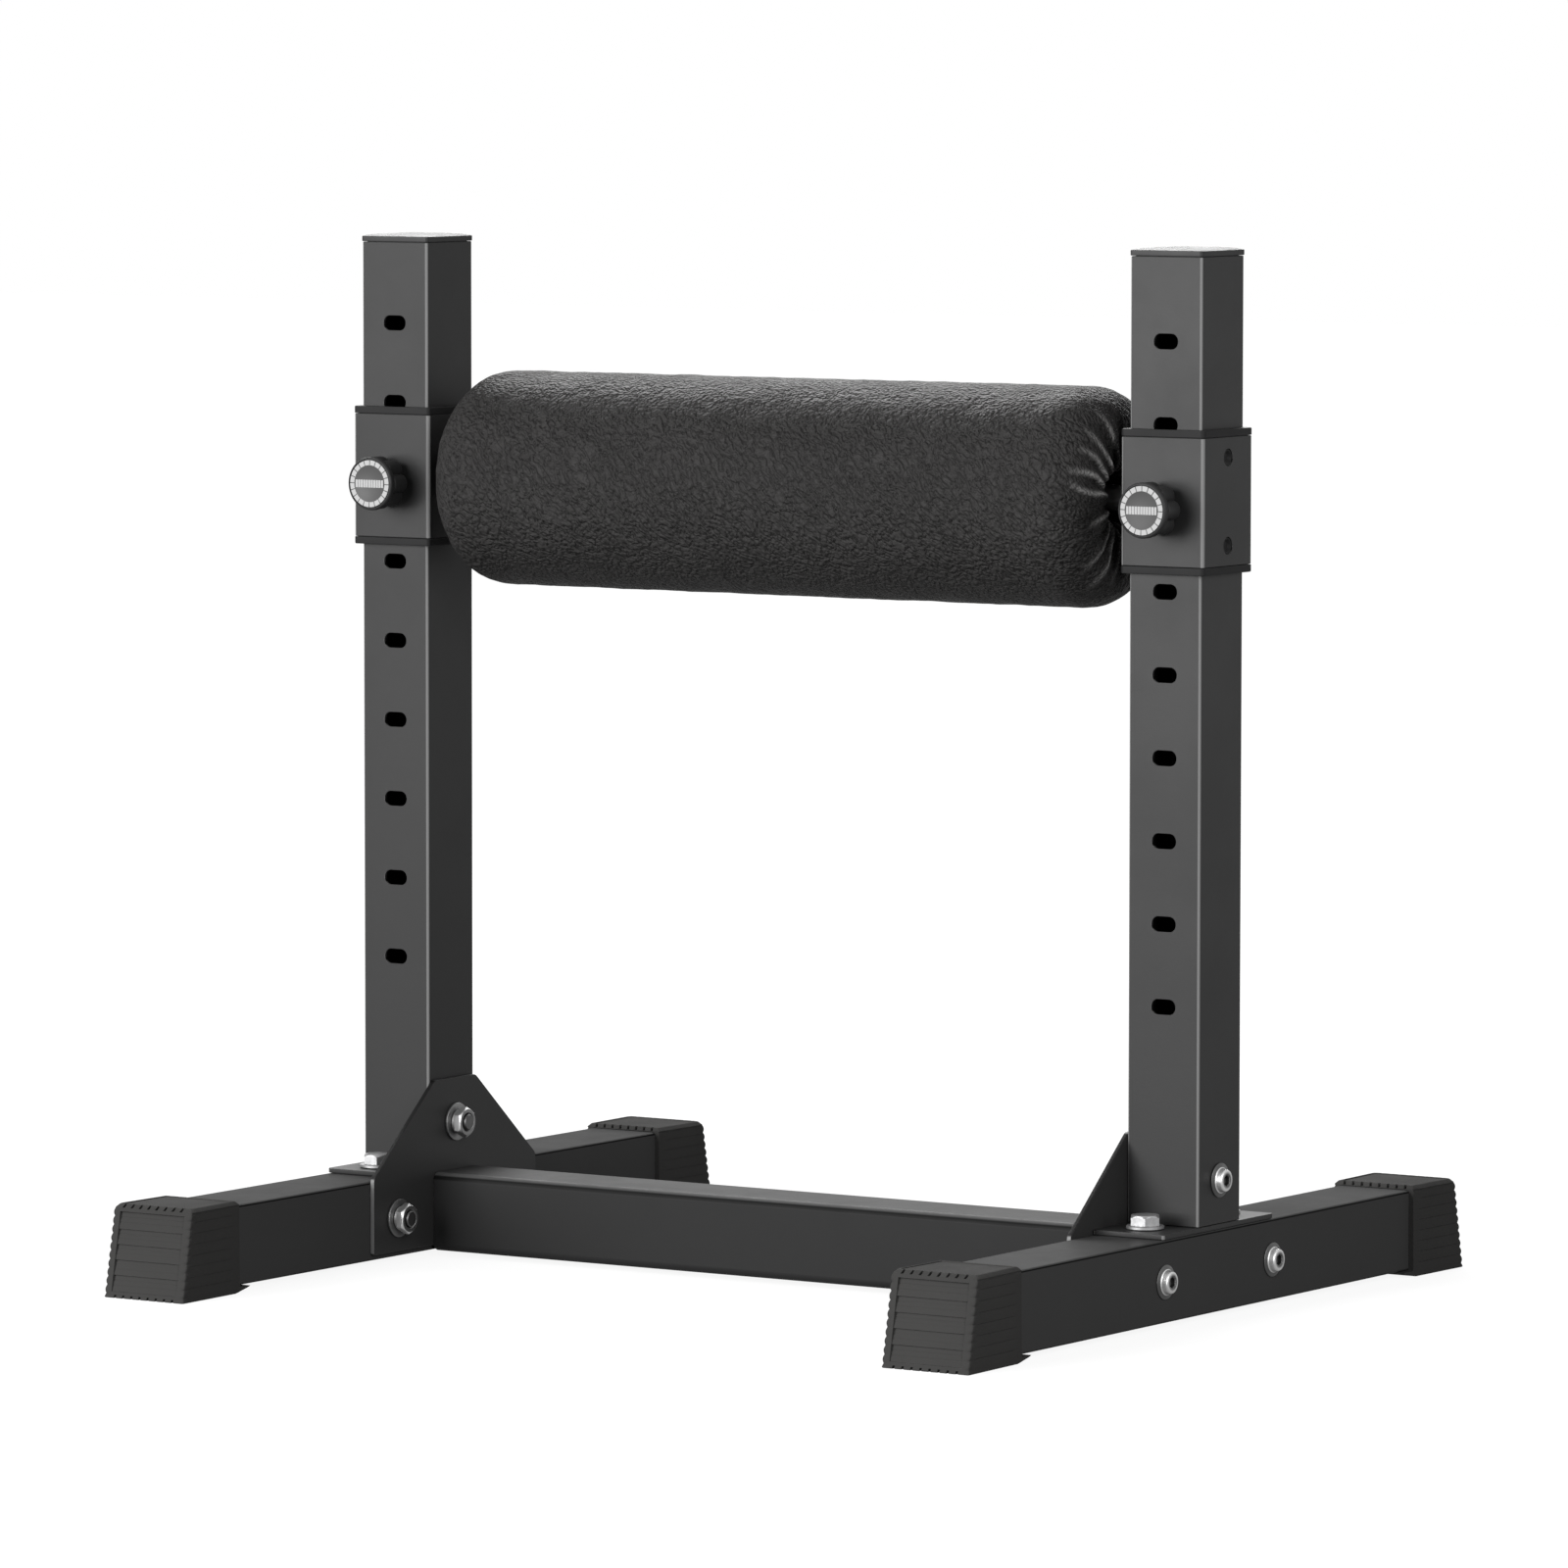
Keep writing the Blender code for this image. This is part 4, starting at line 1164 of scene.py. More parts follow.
def addNut(name, node, at):
    # a round neck on the washer's side, then the hexagon
    shape = nutShape
    count = 48
    flats, height, neck, step = shape["flats"], shape["height"], shape["neck"], shape["neckHeight"]
    reach = flats / 2 / math.cos(math.tau / 12)
    collar = ((neck - 0.0003, 0.0), (neck, 0.0003), (neck, step))
    sections = [(circlePoints(radius, count), z) for radius, z in collar]
    for t in (0, 1 / 3, 2 / 3, 1):
        cap = flats / 2 + (reach - flats / 2) * t
        sections.append((hexagonPoints(flats, cap, count), step + 0.0002 + 0.0007 * t))
    sections += hexHeadSections(flats, step + 0.0014, height, shape["chamfer"], count)
    hole, mouth = shape["hole"], 0.0009
    bore = [(hole + 0.0010, height), (hole, height - mouth), (hole, mouth), (hole + 0.0010, 0.0)]
    sections += [(circlePoints(radius, count), z) for radius, z in bore]
    nut = addPiece(name, stack(sections, ring=True), nutZinc, "frame", (node,), at)
    markPaintedHeadLight(nut, at, 0.0001, height - 0.0001, neck - 0.0010)


plateBolt = {
    "shank": 0.005, "tail": 0.018, "washer": 0.0115, "washerThick": 0.002,
    "flats": 0.017, "height": 0.0084, "chamfer": 0.0014,
}


def addPlateBolt(name, node, at):
    shape = plateBolt
    count = 48
    edge = 0.0004
    washer, thick, shank, tail = shape["washer"], shape["washerThick"], shape["shank"], shape["tail"]
    flats, height = shape["flats"], shape["height"]
    profile = [
        (shank - 0.0006, -tail), (shank, -tail + 0.0006), (shank, 0),
        (washer - edge, 0), (washer, edge), (washer, thick - edge), (washer - edge, thick),
        (flats / 2 + 0.0002, thick + 0.0001),
    ]
    sections = [(circlePoints(radius, count), z) for radius, z in profile]
    sections += hexHeadSections(flats, thick + 0.0003, height, shape["chamfer"], count)
    # the shallow dish in the head's top
    dish = [(0.0068, height), (0.0062, height - 0.0003), (0.0010, height - 0.0003)]
    sections += [(circlePoints(radius, count), z) for radius, z in dish]
    addPiece(name, stack(sections), plateZinc, "frame", (node,), at)


boltPlaces = {"front": (-boltY, baseBoltZ), "back": (boltY, baseBoltZ), "post": (0, postBoltZ)}


def reachOf(node):
    # how near to the middle, and how far from it, a piece on one side reaches
    low, high = span(node)
    return sorted((abs(low.x), abs(high.x)))


for side, sign in sides.items():
    for place, (y, z) in boltPlaces.items():
        node = f"flange_bolt_{place}_{side}"
        outside = postX + tubeSize / 2
        at = facing((sign * outside, y, z), (sign, 0, 0))
        addFrameBolt(f"{side}_{place}_bolt", node, at, outside - reachOf(node)[0])
        for kind, add in (("washer", addWasher), ("nut", addNut)):
            node = f"flange_{kind}_{place}_{side}"
            add(f"{side}_{place}_{kind}", node, facing((sign * reachOf(node)[1], y, z), (-sign, 0, 0)))
    for end, direction in ends.items():
        node = f"plate_bolt_{end}_{side}"
        top = span(node)[1].z
        at = facing((sign * postX, direction * plateBoltY, top - plateBolt["height"]))
        addPlateBolt(f"{side}_{end}_plate_bolt", node, at)
print("fasteners made")


# Sleeves, liners and the bar

sleeveShape = {
    "size": 0.058, "wall": 0.002, "corner": 0.0027, "edge": 0.0003, "lip": 0.0045, "overhang": 0.0002,
    "barrelHole": 0.0078, "nubHole": 0.0053, "nub": 0.005, "nubSpread": 0.0265,
    "collar": 0.013, "collarLength": 0.009, "collarEdge": 0.0006, "barHole": 0.0083, "screwHole": 0.0028,
}
rollerZ = middleOf("roller_bar").z
pinZ = middleOf("knob_disc_right").z


def addSleeve(side, sign):
    shape = sleeveShape
    node = f"sleeve_{side}"
    low, high = span(node)
    size, wall = shape["size"], shape["wall"]
    bm = squarePipe(size, size - 2 * wall, shape["corner"], shape["corner"] - wall, low.z, high.z)
    at = facing((sign * postX, 0, 0))
    sleeve = addPiece(f"{side}_sleeve", bm, coat, "carriage", (node,), at)
    face = postX - size / 2
    length, collar = shape["collarLength"], shape["collar"]
    corners = [(0.001, -length), (collar, -length), (collar, wall / 2), (0.001, wall / 2)]
    profile = softened(corners, shape["collarEdge"])
    carve(sleeve, [(turned(profile, 48), facing((sign * face, 0, rollerZ), (sign, 0, 0)))], "UNION")
    # the bar's hole through the collar and the inner wall, the set screw's above it, the barrel's in front
    screwX, screwZ = face - length / 2, rollerZ + 0.0105
    cuts = [
        (roundCutter(shape["barHole"], 0.020), facing((sign * (face - 0.008), 0, rollerZ), (1, 0, 0))),
        (roundCutter(shape["screwHole"], 0.010), facing((sign * screwX, 0, screwZ))),
        (roundCutter(shape["barrelHole"], throughWall), facing((sign * postX, -size / 2, pinZ), (0, 1, 0))),
    ]
    for up in (-1, 1):
        at = facing((sign * (postX + size / 2), 0, rollerZ + up * shape["nubSpread"]), (1, 0, 0))
        cuts.append((roundCutter(shape["nubHole"], throughWall), at))
    carve(sleeve, cuts)
    breakEdges(sleeve, shape["edge"])


def addLiner(name, side, sign, up):
    shape = sleeveShape
    node = f"bushing_{name}_{side}"
    low, high = span(node)
    bore = tubeSize + 2 * fitGap
    wall = shape["size"] - 2 * shape["wall"] - 2 * fitGap
    lip = shape["size"] + 2 * shape["overhang"]
    mouth, end = (high.z, low.z) if up > 0 else (low.z, high.z)
    seat = mouth - up * shape["lip"]
    edge = 0.0008
    # (width, corner rounding, height) up the bore, round the lip and down the wall
    sections = [
        (bore, 0.0020, end), (bore, 0.0020, mouth - up * 0.0010),
        (bore + 0.0006, 0.0022, mouth - up * 0.0002), (bore + 0.0016, 0.0025, mouth),
        (lip - 2 * edge, 0.0022, mouth),
        (lip - 0.5 * edge, 0.0027, mouth - up * 0.2 * edge), (lip, 0.0029, mouth - up * edge),
        (lip, 0.0029, seat + up * 0.0003), (lip - 0.0005, 0.0028, seat),
        (wall, 0.0009, seat), (wall, 0.0009, end),
    ]
    bm = stack([(roundedBox(size, size, radius), height) for size, radius, height in sections], ring=True)
    at = facing((sign * postX, 0, 0))
    liner = addPiece(f"{side}_{name}_liner", bm, linerPlastic, "carriage", (node,), at)
    start = (bore + wall) / 4
    reach = shape["size"] / 2 - start
    nub = shape["nub"]
    # a dished end, 0.4 mm behind the sleeve's face
    profile = [
        (nub, 0), (nub, reach - 0.0010), (nub - 0.0002, reach - 0.0005), (nub - 0.0006, reach - 0.0004),
        (nub - 0.0011, reach - 0.0006), (0.0026, reach - 0.0024),
        (0.0022, reach - 0.0026), (0.0004, reach - 0.0026),
    ]
    height = rollerZ + up * shape["nubSpread"]
    carve(liner, [(turned(profile, 32), facing((sign * (postX + start), 0, height), (sign, 0, 0)))], "UNION")
    liner.data.set_sharp_from_angle(angle=sharpAngle)
    evenShading(liner)


def addBar():
    low, high = span("roller_bar")
    half, radius = high.x, (high.z - low.z) / 2
    edge = 0.0006
    profile = [(radius - edge, -half), (radius, -half + edge), (radius, half - edge), (radius - edge, half)]
    at = facing((0, 0, rollerZ), (1, 0, 0))
    addPiece("roller_shaft", turned(profile, 48), zinc, "carriage", ("roller_bar",), at)


screwShape = {"edge": 0.0003, "socket": 0.0025, "socketDepth": 0.0015}


def addSetScrew(side):
    node = f"bar_screw_{side}"
    low, high = span(node)
    middle = (low + high) / 2
    radius = (high.x - low.x) / 2
    count = 24
    edge, top = screwShape["edge"], high.z
    sections = [(circlePoints(radius - inset, count), z) for inset, z in (
        (edge, low.z), (0, low.z + edge), (0, top - edge), (edge, top))]
    socket = hexagonPoints(screwShape["socket"], 1, count)
    sections += [(socket, top), (socket, top - screwShape["socketDepth"])]
    at = facing((middle.x, middle.y, 0))
    addPiece(f"{side}_set_screw", stack(sections), zinc, "carriage", (node,), at)


addBar()
for side, sign in sides.items():
    addSleeve(side, sign)
    addLiner("upper", side, sign, 1)
    addLiner("lower", side, sign, -1)
    addSetScrew(side)
print("sleeves and bar made")


# Pull pins. Heights run forward from the posts' middle plane, along -Y.

barrelShape = {
    "sleeveFace": 0.029, "radius": 0.0075, "flange": 0.0095, "flangeThick": 0.0020, "flangeEdge": 0.0004,
    "pinHole": 0.0043, "chamber": 0.0057, "chamberBack": 0.0292, "stemHole": 0.0027, "endWall": 0.0016,
    "threadPitch": 0.0011, "threadDepth": 0.0005,
}
pinShape = {"radius": 0.0040, "collar": 0.0052, "collarBack": 0.0335, "collarThick": 0.0015, "stem": 0.0024}
springShape = {"wire": 0.0004, "turns": 3, "steps": 28, "around": 8, "travel": 0.0055}
knobShape = {
    "rim": 0.0168, "rimLength": 0.0045, "lobes": 7, "lobeDepth": 0.0036, "facets": 168, "disc": 0.0150,
    "bore": 0.0101, "recess": 0.0012, "web": 0.0023,
}


def forward(sign):
    return facing((sign * postX, 0, pinZ), (0, -1, 0))


def addBarrel(side, sign):
    node = f"pin_barrel_{side}"
    low, high = span(node)
    back, front = -high.y, -low.y
    shape = barrelShape
    radius, flange, edge = shape["radius"], shape["flange"], shape["flangeEdge"]
    pinHole, chamber, stemHole = shape["pinHole"], shape["chamber"], shape["stemHole"]
    flangeBack = shape["sleeveFace"] + fitGap
    flangeFront = flangeBack + shape["flangeThick"]
    profile = [
        (pinHole, back), (radius, back), (radius, flangeBack), (flange - edge, flangeBack),
        (flange, flangeBack + edge), (flange, flangeFront - edge),
        (flange - edge, flangeFront), (radius, flangeFront),
    ]
    pitch, root = shape["threadPitch"], radius - shape["threadDepth"]
    place = flangeFront + 0.0012
    while place + pitch < front - 0.0008:
        profile += [(radius, place), (radius, place + 0.0003), (root, place + 0.0006), (root, place + 0.0008)]
        place += pitch
    chamberBack, chamberFront = shape["chamberBack"], front - shape["endWall"]
    profile += [
        (root, front - 0.0006), (root - 0.0005, front), (stemHole, front), (stemHole, chamberFront),
        (chamber, chamberFront), (chamber, chamberBack), (pinHole, chamberBack),
    ]
    bm = turned(profile, 56, ring=True)
    addPiece(f"{side}_pin_barrel", bm, plainCoat, "carriage", (node,), forward(sign))


def addLockPin(side, sign):
    node = f"lock_pin_{side}"
    low, high = span(node)
    tip, front = -high.y, -low.y
    shape = pinShape
    radius, collar, stem = shape["radius"], shape["collar"], shape["stem"]
    collarBack = shape["collarBack"]
    collarFront = collarBack + shape["collarThick"]
    profile = [
        (radius - 0.0010, tip), (radius - 0.0003, tip + 0.0003), (radius, tip + 0.0009), (radius, collarBack),
        (collar - 0.0003, collarBack), (collar, collarBack + 0.0003),
        (collar, collarFront - 0.0003), (collar - 0.0003, collarFront),
        (stem, collarFront), (stem, front - 0.0003), (stem - 0.0003, front),
    ]
    addPiece(f"{side}_lock_pin", turned(profile, 40), zinc, f"pin_{side}", (node,), forward(sign))


def addSpring(side, sign):
    node = f"pin_spring_{side}"
    low, high = span(node)
    shape = springShape
    wire, steps, around = shape["wire"], shape["steps"], shape["around"]
    radius = (high.x - low.x) / 2 - wire
    back, front = -high.y + wire, -low.y - wire
    rings = []
    total = shape["turns"] * steps
    for step in range(total + 1):
        angle = math.tau * step / steps
        outward = Vector((math.cos(angle), math.sin(angle), 0))
        middle = outward * radius + Vector((0, 0, back + (front - back) * step / total))
        ring = []
        for k in range(around):
            turn = math.tau * k / around
            ring.append(middle + (outward * math.cos(turn) + Vector((0, 0, math.sin(turn)))) * wire)
        rings.append(ring)
    name, at = f"{side}_pin_spring", forward(sign)
    spring = addPiece(name, loft(rings), springSteel, "carriage", (node,), at)
    # the pin's collar presses it against the barrel's end wall
    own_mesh(spring)


def lobedRing(radius, depth):
    # rounded lobes with narrow valleys between them
    lobes = knobShape["lobes"]

    def radiusAt(angle):
        wave = abs(math.cos(lobes * angle / 2))
        return radius - depth * (1 - wave ** 0.75)

    return polarPoints(radiusAt, knobShape["facets"])


def addKnobGrip(side, sign):
    shape = knobShape
    node = f"knob_grip_{side}"
    low, high = span(node)
    back, front = -high.y, -low.y
    rimBack = front - shape["rimLength"]
    rim, depth, count = shape["rim"], shape["lobeDepth"], shape["facets"]
    bore, stemHole, discRoom = shape["bore"], barrelShape["stemHole"], shape["disc"] + fitGap
    recess = front - shape["recess"]
    boreBottom = recess - shape["web"]

    def ringOf(radius, height):
        return (circlePoints(radius, count), height)

    # from the bore's mouth over the lobes and the round rim to the disc's room
    sections = [
        ringOf(bore, back), (lobedRing(rim - 0.0030, depth * 0.6), back),
        (lobedRing(rim - 0.0012, depth * 0.9), back + 0.0004),
        (lobedRing(rim - 0.0004, depth), back + 0.0012),
        (lobedRing(rim, depth), back + 0.0024), (lobedRing(rim, depth), rimBack - 0.0014),
        (lobedRing(rim - 0.0002, depth), rimBack - 0.0008),
        (lobedRing(rim - 0.0010, depth * 0.8), rimBack - 0.0002),
        ringOf(rim - 0.0022, rimBack), ringOf(rim - 0.0009, rimBack + 0.0001),
        ringOf(rim - 0.0002, rimBack + 0.0006), ringOf(rim, rimBack + 0.0013),
        ringOf(rim, front - 0.0014), ringOf(rim - 0.0003, front - 0.0006),
        ringOf(rim - 0.0008, front - 0.0001), ringOf(rim - 0.0012, front),
        ringOf(discRoom + 0.0002, front), ringOf(discRoom, front - 0.0002), ringOf(discRoom, recess),
        ringOf(stemHole, recess), ringOf(stemHole, boreBottom), ringOf(bore, boreBottom),
    ]
    bm = stack(sections, ring=True)
    addPiece(f"{side}_knob_grip", bm, plastic, f"knob_{side}", (node,), forward(sign))


printShape = {
    "dashes": 20, "ringInner": 0.0116, "ringOuter": 0.0147, "dashShare": 0.86, "rise": 0.00008,
    "ticks": 11, "tickWidth": 0.0016, "tickPitch": 0.00195, "tickHeight": 0.0048,
}


def addKnobDisc(side, sign):
    node = f"knob_disc_{side}"
    low, high = span(node)
    back, front = -high.y, -low.y
    radius = knobShape["disc"]
    field = front - 0.00012      # the printed field lies a little lower than the rim
    profile = [
        (radius - 0.0002, back), (radius, back + 0.0002), (radius, front - 0.0003), (radius - 0.0003, front),
        (0.0114, front), (0.0112, field), (0.0020, field),
    ]
    bm = turned(profile, 96)
    addPiece(f"{side}_knob_disc", bm, discFace, f"knob_{side}", (node,), forward(sign))
    addDiscPrint(side, sign, front)


def raisedPatch(bm, outline, low, high):
    bottom = [bm.verts.new((x, y, low)) for x, y in outline]
    top = [bm.verts.new((x, y, high)) for x, y in outline]
    bm.faces.new(list(reversed(bottom)))
    bm.faces.new(top)
    bridge(bm, bottom, top)


def addDiscPrint(side, sign, front):
    # plain white marks: a ring of even dashes, and a row of even ticks across the middle
    shape = printShape
    bm = bmesh.new()
    step = math.tau / shape["dashes"]
    for number in range(shape["dashes"]):
        start = number * step
        angles = [start + step * shape["dashShare"] * k / 6 for k in range(7)]
        arc = [(math.cos(angle), math.sin(angle)) for angle in angles]
        outline = [(shape["ringOuter"] * x, shape["ringOuter"] * y) for x, y in arc]
        outline += [(shape["ringInner"] * x, shape["ringInner"] * y) for x, y in reversed(arc)]
        raisedPatch(bm, outline, front - 0.00005, front + shape["rise"])
    half, width = shape["tickHeight"] / 2, shape["tickWidth"] / 2
    for number in range(shape["ticks"]):
        x = (number - (shape["ticks"] - 1) / 2) * shape["tickPitch"]
        outline = [(x - width, -half), (x + width, -half), (x + width, half), (x - width, half)]
        raisedPatch(bm, outline, front - 0.0002, front + shape["rise"])
    addPiece(f"{side}_disc_print", bm, printWhite, f"knob_{side}", (), forward(sign))


for side, sign in sides.items():
    addBarrel(side, sign)
    addLockPin(side, sign)
    addSpring(side, sign)
    addKnobGrip(side, sign)
    addKnobDisc(side, sign)
print("pull pins made")


# Roller

rollerShape = {
    "coreRadius": 0.016, "coreWall": 0.002, "edge": 0.0004,
    "bushDepth": 0.020, "bushRim": 0.002, "bushHole": 0.0083,
}


def addRollerCore():
    shape = rollerShape
    half = span("roller_core")[1].x
    radius, inside = shape["coreRadius"], shape["coreRadius"] - shape["coreWall"]
    corners = [(inside, -half), (radius, -half), (radius, half), (inside, half)]
    bm = turned(softened(corners, shape["edge"], closed=True), 56, ring=True)
    at = facing((0, 0, rollerZ), (1, 0, 0))
    addPiece("roller_tube", bm, plainCoat, "roller", ("roller_core",), at)


def addRollerBush(side, sign):
    shape = rollerShape
    half = span("roller_core")[1].x
    body = shape["coreRadius"] - shape["coreWall"] - fitGap
    rim, hole, depth = shape["coreRadius"] - fitGap, shape["bushHole"], shape["bushDepth"]
    corners = [
        (hole, -depth), (body, -depth), (body, fitGap), (rim, fitGap),
        (rim, shape["bushRim"]), (hole, shape["bushRim"]),
    ]
    bm = turned(softened(corners, shape["edge"], closed=True), 56, ring=True)
    node = f"roller_bush_{side}"
    at = facing((sign * half, 0, rollerZ), (sign, 0, 0))
    addPiece(f"{side}_roller_bush", bm, plastic, "roller", (node,), at)


padShape = {
    "half": 0.2398, "radius": 0.0683, "round": 0.029, "crown": 0.030,
    "mouthDepth": 0.0125, "mouth": 0.0142, "hole": 0.0163,
    "drift": 0.0032,         # how far to the right the roller has slid on its bar
    "slack": 0.0012,         # how much smaller the cover starts, before it is blown up
    "around": 240, "lipRings": 14, "edgeRings": 26, "middleRings": 84,
    "tunnel": (-0.2250, -0.2190, -0.10, 0.10, 0.2190, 0.2250),
    "pleats": 19, "pleatDepth": 0.0048, "pleatShort": 0.030, "pleatLong": 0.062,
    "thirdPleat": 0.052,     # every third gather is at least this long
    "ridgeHeight": 0.0012, "ridgeWidth": 0.0011, "ridgeReach": 1.05,
    "tied": 0.012,           # the stretch of cover behind each mouth that is partly held
    "pressure": 3.0, "frames": 20,
    "cap": 0.0022, "endCap": 0.0040,             # the most that the cover is moved, along it and at its ends
    "seed": 11,
}
creaseShape = {"sag": 0.0014, "sagScale": 45.0, "ripple": 0.0005, "rippleScale": 120.0, "wander": 0.008}


def padProfile():
    # (distance from the middle, radius, way along the cover from the mouth) for one end
    shape = padShape
    slack = shape["slack"]
    half, radius = shape["half"] - slack, shape["radius"] - slack
    points = []
    mouth = half - shape["mouthDepth"]
    for step in range(shape["lipRings"] + 1):
        angle = math.tau / 4 * step / shape["lipRings"]
        size = shape["crown"] - (shape["crown"] - shape["mouth"]) * math.cos(angle)
        points.append((mouth + shape["mouthDepth"] * math.sin(angle), size))
    bend = shape["round"]
    for step in range(1, shape["edgeRings"] + 1):
        angle = math.tau / 4 * step / shape["edgeRings"]
        points.append((half - bend + bend * math.cos(angle), radius - bend + bend * math.sin(angle)))
    ways = [0.0]
    for first, second in zip(points, points[1:]):
        ways.append(ways[-1] + math.dist(first, second))
    return [(place, size, way) for (place, size), way in zip(points, ways)]


def makePleats(rng):
    # each gather is a fold line that starts at the mouth and fades out along the cover
    shape = padShape
    pleats = []
    for number in range(shape["pleats"]):
        angle = math.tau * (number + rng.uniform(-0.30, 0.30)) / shape["pleats"]
        length = rng.uniform(shape["pleatShort"], shape["pleatLong"])
        if number % 3 == 0:
            length = max(length, shape["thirdPleat"])
        pleats.append({
            "angle": angle,
            "length": length,
            "depth": shape["pleatDepth"] * rng.uniform(0.70, 1.15),
            "lean": rng.uniform(-0.16, 0.16),
            "width": rng.uniform(0.0011, 0.0018),
            "wave": rng.uniform(0, math.tau),
            "ridge": rng.uniform(0.40, 0.60) * math.tau / shape["pleats"],
        })
    return pleats


def offFold(pleat, angle, way, radius, aside, waves):
    # how far along the ring a point lies from the line that a gather or its ridge follows
    lean = pleat["lean"] * (way / 0.05) ** 1.2
    centre = pleat["angle"] + aside + lean + 0.03 * math.sin(way * waves + pleat["wave"])
    return abs((angle - centre + math.pi) % math.tau - math.pi) * radius


def pleatDepthAt(pleats, angle, way, radius):
    depth = 0.0
    for pleat in pleats:
        if way > pleat["length"]:
            continue
        fade = (1 - way / pleat["length"]) ** 0.8
        distance = offFold(pleat, angle, way, radius, 0.0, 160)
        width = pleat["width"] * (1 + way / 0.03)
        if distance > 4 * width:
            continue
        depth += pleat["depth"] * fade * math.exp(-((distance / width) ** 1.25))
    return depth


def ridgeAt(pleats, angle, way, radius):
    # how far a point is up on a stretched ridge beside a gather, 0 to 1
    shape = padShape
    most = 0.0
    for pleat in pleats:
        length = pleat["length"] * shape["ridgeReach"]
        if way > length:
            continue
        fade = min(1.0, 1.6 * (1 - way / length)) * min(1.0, 0.25 + way / 0.016)
        width = shape["ridgeWidth"] * (0.6 + way / 0.05)
        distance = offFold(pleat, angle, way, radius, pleat["ridge"], 130) / width
        most = max(most, fade * math.exp(-distance * distance))
    return most


def buildPad():
    shape = padShape
    rng = random.Random(shape["seed"])
    around = shape["around"]
    end = padProfile()
    edgePlace, edgeWay = end[-1][0], end[-1][2]
    rows = []                                    # (x, radius, cover way, side, way from the mouth)
    for place, size, way in end:
        rows.append((-place, size, -(edgePlace + edgeWay - way), -1, way))
    for step in range(1, shape["middleRings"]):
        x = -edgePlace + 2 * edgePlace * step / shape["middleRings"]
        rows.append((x, end[-1][1], x, 0, 1.0))
    for place, size, way in reversed(end):
        rows.append((place, size, edgePlace + edgeWay - way, 1, way))
    pleats = {-1: makePleats(rng), 1: makePleats(rng)}
    bm = bmesh.new()
    cover = bm.verts.layers.float_vector.new("coverPlace")
    ridgeHighlightMark = bm.verts.layers.float.new("stretched")
    pinned = bm.verts.layers.deform.verify()
    loops = []
    for row, (x, size, coverX, side, way) in enumerate(rows):
        loop = []
        before = rows[max(row - 1, 0)]
        after = rows[min(row + 1, len(rows) - 1)]
        slope = Vector((after[0] - before[0], after[1] - before[1])).normalized()
        outX, outR = -slope.y, slope.x           # outward across the profile
        for k in range(around):
            angle = math.tau * k / around
            depth = pleatDepthAt(pleats[side], angle, way, size) if side else 0.0
            ridge = ridgeAt(pleats[side], angle, way, size) if side else 0.0
            depth -= shape["ridgeHeight"] * ridge
            radius = max(size - outR * depth, shape["mouth"])
            vert = bm.verts.new((x - outX * depth, radius * math.cos(angle), radius * math.sin(angle)))
            vert[cover] = (coverX, shape["radius"] * math.cos(angle), shape["radius"] * math.sin(angle))
            # where the material paints a highlight on the ridge
            vert[ridgeHighlightMark] = ridge
            if row in (0, len(rows) - 1):
                vert[pinned][0] = 1.0
            elif side:
                vert[pinned][0] = max(0.0, 0.6 * (1 - way / shape["tied"]))
            loop.append(vert)
        loops.append(loop)
    for low, high in zip(loops, loops[1:]):
        bridge(bm, low, high)
    bmesh.ops.recalc_face_normals(bm, faces=bm.faces)
    mesh = bpy.data.meshes.new("roller_cover")
    bm.to_mesh(mesh)
    bm.free()
    pad = bpy.data.objects.new("roller_cover", mesh)
    bpy.context.collection.objects.link(pad)
    pad.vertex_groups.new(name="tied")
    mesh.transform(Matrix.Translation((0, 0, rollerZ)))
    return pad, rows


def inflatePad(pad):
    # blows the cover up a little, held at its two mouths
    shape = padShape
    start = [vertex.co.copy() for vertex in pad.data.vertices]
    cloth = pad.modifiers.new("cover", "CLOTH")
    settings = cloth.settings
    settings.quality = 5
    settings.mass = 0.35
    settings.tension_stiffness = 22
    settings.compression_stiffness = 10
    settings.shear_stiffness = 10
    settings.bending_stiffness = 0.6
    settings.use_pressure = True
    settings.uniform_pressure_force = shape["pressure"]
    settings.effector_weights.gravity = 0
    settings.vertex_group_mass = "tied"
    settings.pin_stiffness = 1.0
    cloth.collision_settings.use_collision = False
    cloth.point_cache.frame_start = 1
    cloth.point_cache.frame_end = shape["frames"]
    scene = bpy.context.scene
    for number in range(1, shape["frames"] + 1):
        scene.frame_set(number)
    graph = bpy.context.evaluated_depsgraph_get()
    blown = pad.evaluated_get(graph).to_mesh()
    moved = [vertex.co.copy() for vertex in blown.vertices]
    pad.evaluated_get(graph).to_mesh_clear()
    pad.modifiers.clear()
    scene.frame_set(1)
    most = 0.0
    for vertex, before, after in zip(pad.data.vertices, start, moved):
        step = after - before
        limit = shape["cap"] if abs(before.x) < shape["half"] - shape["round"] else shape["endCap"]
        if step.length > limit:
            step = step.normalized() * limit
        most = max(most, step.length)
        vertex.co = before + step
    print("cover moved by up to", round(most * 1000, 2), "mm")


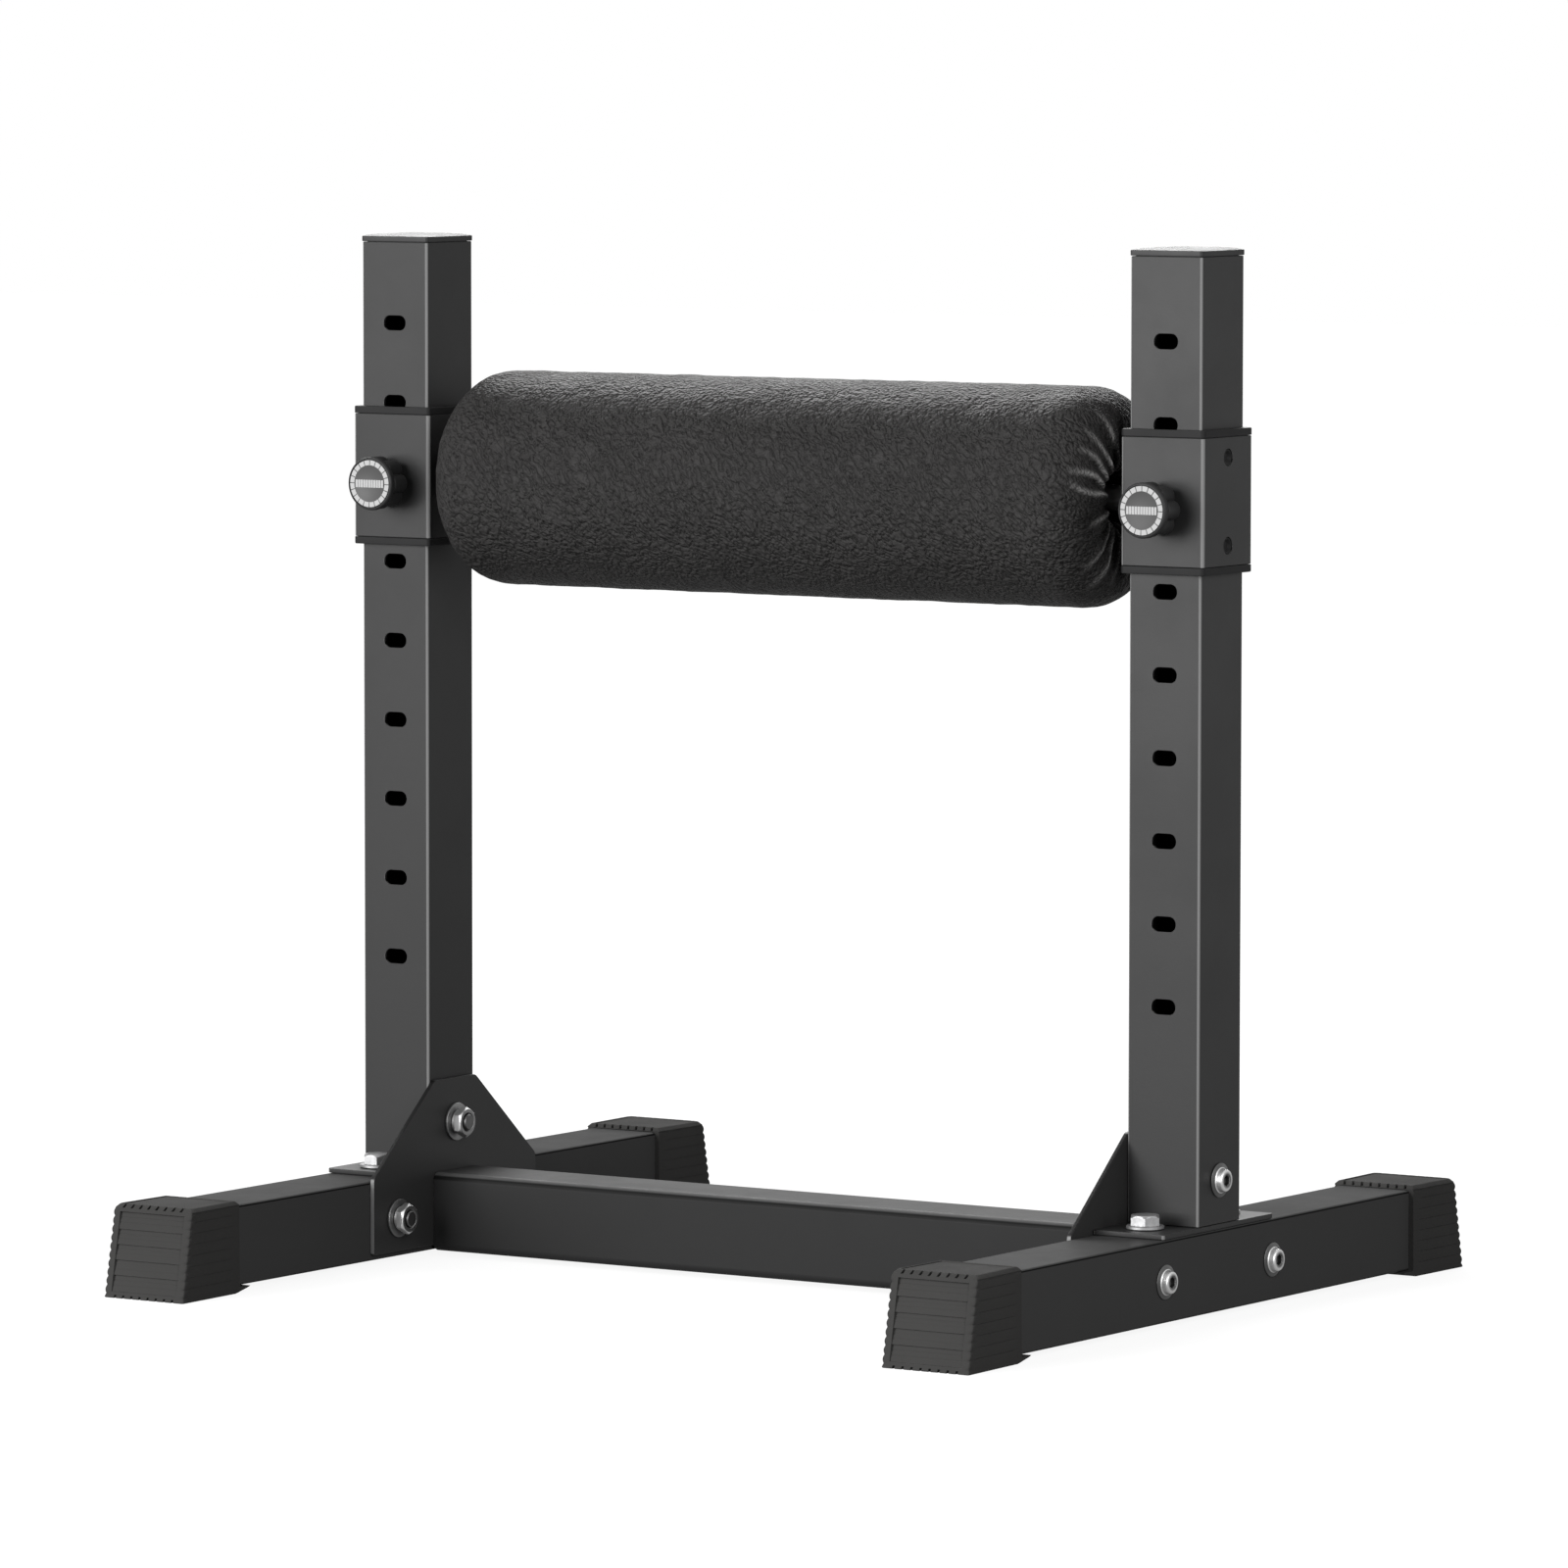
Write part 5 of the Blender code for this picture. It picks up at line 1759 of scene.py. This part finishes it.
def closePad(pad, rows):
    # the tunnel inside, between the two mouths, so that the pad is one closed body
    shape = padShape
    bm = bmesh.new()
    bm.from_mesh(pad.data)
    bm.verts.ensure_lookup_table()
    around = shape["around"]
    count = len(rows)
    first = [bm.verts[k] for k in range(around)]
    last = [bm.verts[(count - 1) * around + k] for k in range(around)]
    cover = bm.verts.layers.float_vector["coverPlace"]
    loops = [first]
    for x in shape["tunnel"]:
        loop = []
        for k in range(around):
            angle = math.tau * k / around
            across, up = math.cos(angle), math.sin(angle)
            vert = bm.verts.new((x, shape["hole"] * across, rollerZ + shape["hole"] * up))
            vert[cover] = (x * 1.6, shape["radius"] * across, shape["radius"] * up)
            loop.append(vert)
        loops.append(loop)
    loops.append(last)
    for low, high in zip(loops, loops[1:]):
        bridge(bm, low, high)
    bmesh.ops.recalc_face_normals(bm, faces=bm.faces)
    bm.to_mesh(pad.data)
    bm.free()


def creaseNodes():
    # geometry nodes that let the cover sag and ripple a little over the foam
    tree = bpy.data.node_groups.new("pressedCreases", "GeometryNodeTree")
    tree.interface.new_socket("Geometry", in_out="INPUT", socket_type="NodeSocketGeometry")
    tree.interface.new_socket("Geometry", in_out="OUTPUT", socket_type="NodeSocketGeometry")
    entry, leave = tree.nodes.new("NodeGroupInput"), tree.nodes.new("NodeGroupOutput")
    named = tree.nodes.new("GeometryNodeInputNamedAttribute")
    named.data_type = "FLOAT_VECTOR"
    named.inputs["Name"].default_value = "coverPlace"
    cover = named.outputs[0]
    shape = creaseShape
    moved = wander(tree, cover, 42.0, shape["wander"])
    sag = calculate(tree, "SUBTRACT", noiseAt(tree, cover, shape["sagScale"], 2.0), 0.5)
    ripple = calculate(tree, "SUBTRACT", noiseAt(tree, moved, shape["rippleScale"], 1.0), 0.5)
    sunk = calculate(tree, "MULTIPLY", sag, shape["sag"])
    total = calculate(tree, "MULTIPLY_ADD", ripple, shape["ripple"], sunk)
    normal = tree.nodes.new("GeometryNodeInputNormal").outputs[0]
    push = addNode(tree, "VectorMath", {0: normal, "Scale": total}, operation="SCALE")
    setPosition = tree.nodes.new("GeometryNodeSetPosition")
    tree.links.new(entry.outputs[0], setPosition.inputs["Geometry"])
    tree.links.new(push.outputs[0], setPosition.inputs["Offset"])
    tree.links.new(setPosition.outputs[0], leave.inputs[0])
    return tree


def addPad():
    pad, rows = buildPad()
    inflatePad(pad)
    closePad(pad, rows)
    pad.data.transform(Matrix.Translation((padShape["drift"], 0, 0)))
    pad.data.materials.append(hide)
    pad.data.shade_smooth()
    finer = pad.modifiers.new("smoother", "SUBSURF")
    finer.levels = finer.render_levels = 1
    folds = pad.modifiers.new("creases", "NODES")
    folds.node_group = creaseNodes()
    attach(pad, "roller")
    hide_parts("roller_pad")


addRollerCore()
for side, sign in sides.items():
    addRollerBush(side, sign)
addPad()
print("roller made")
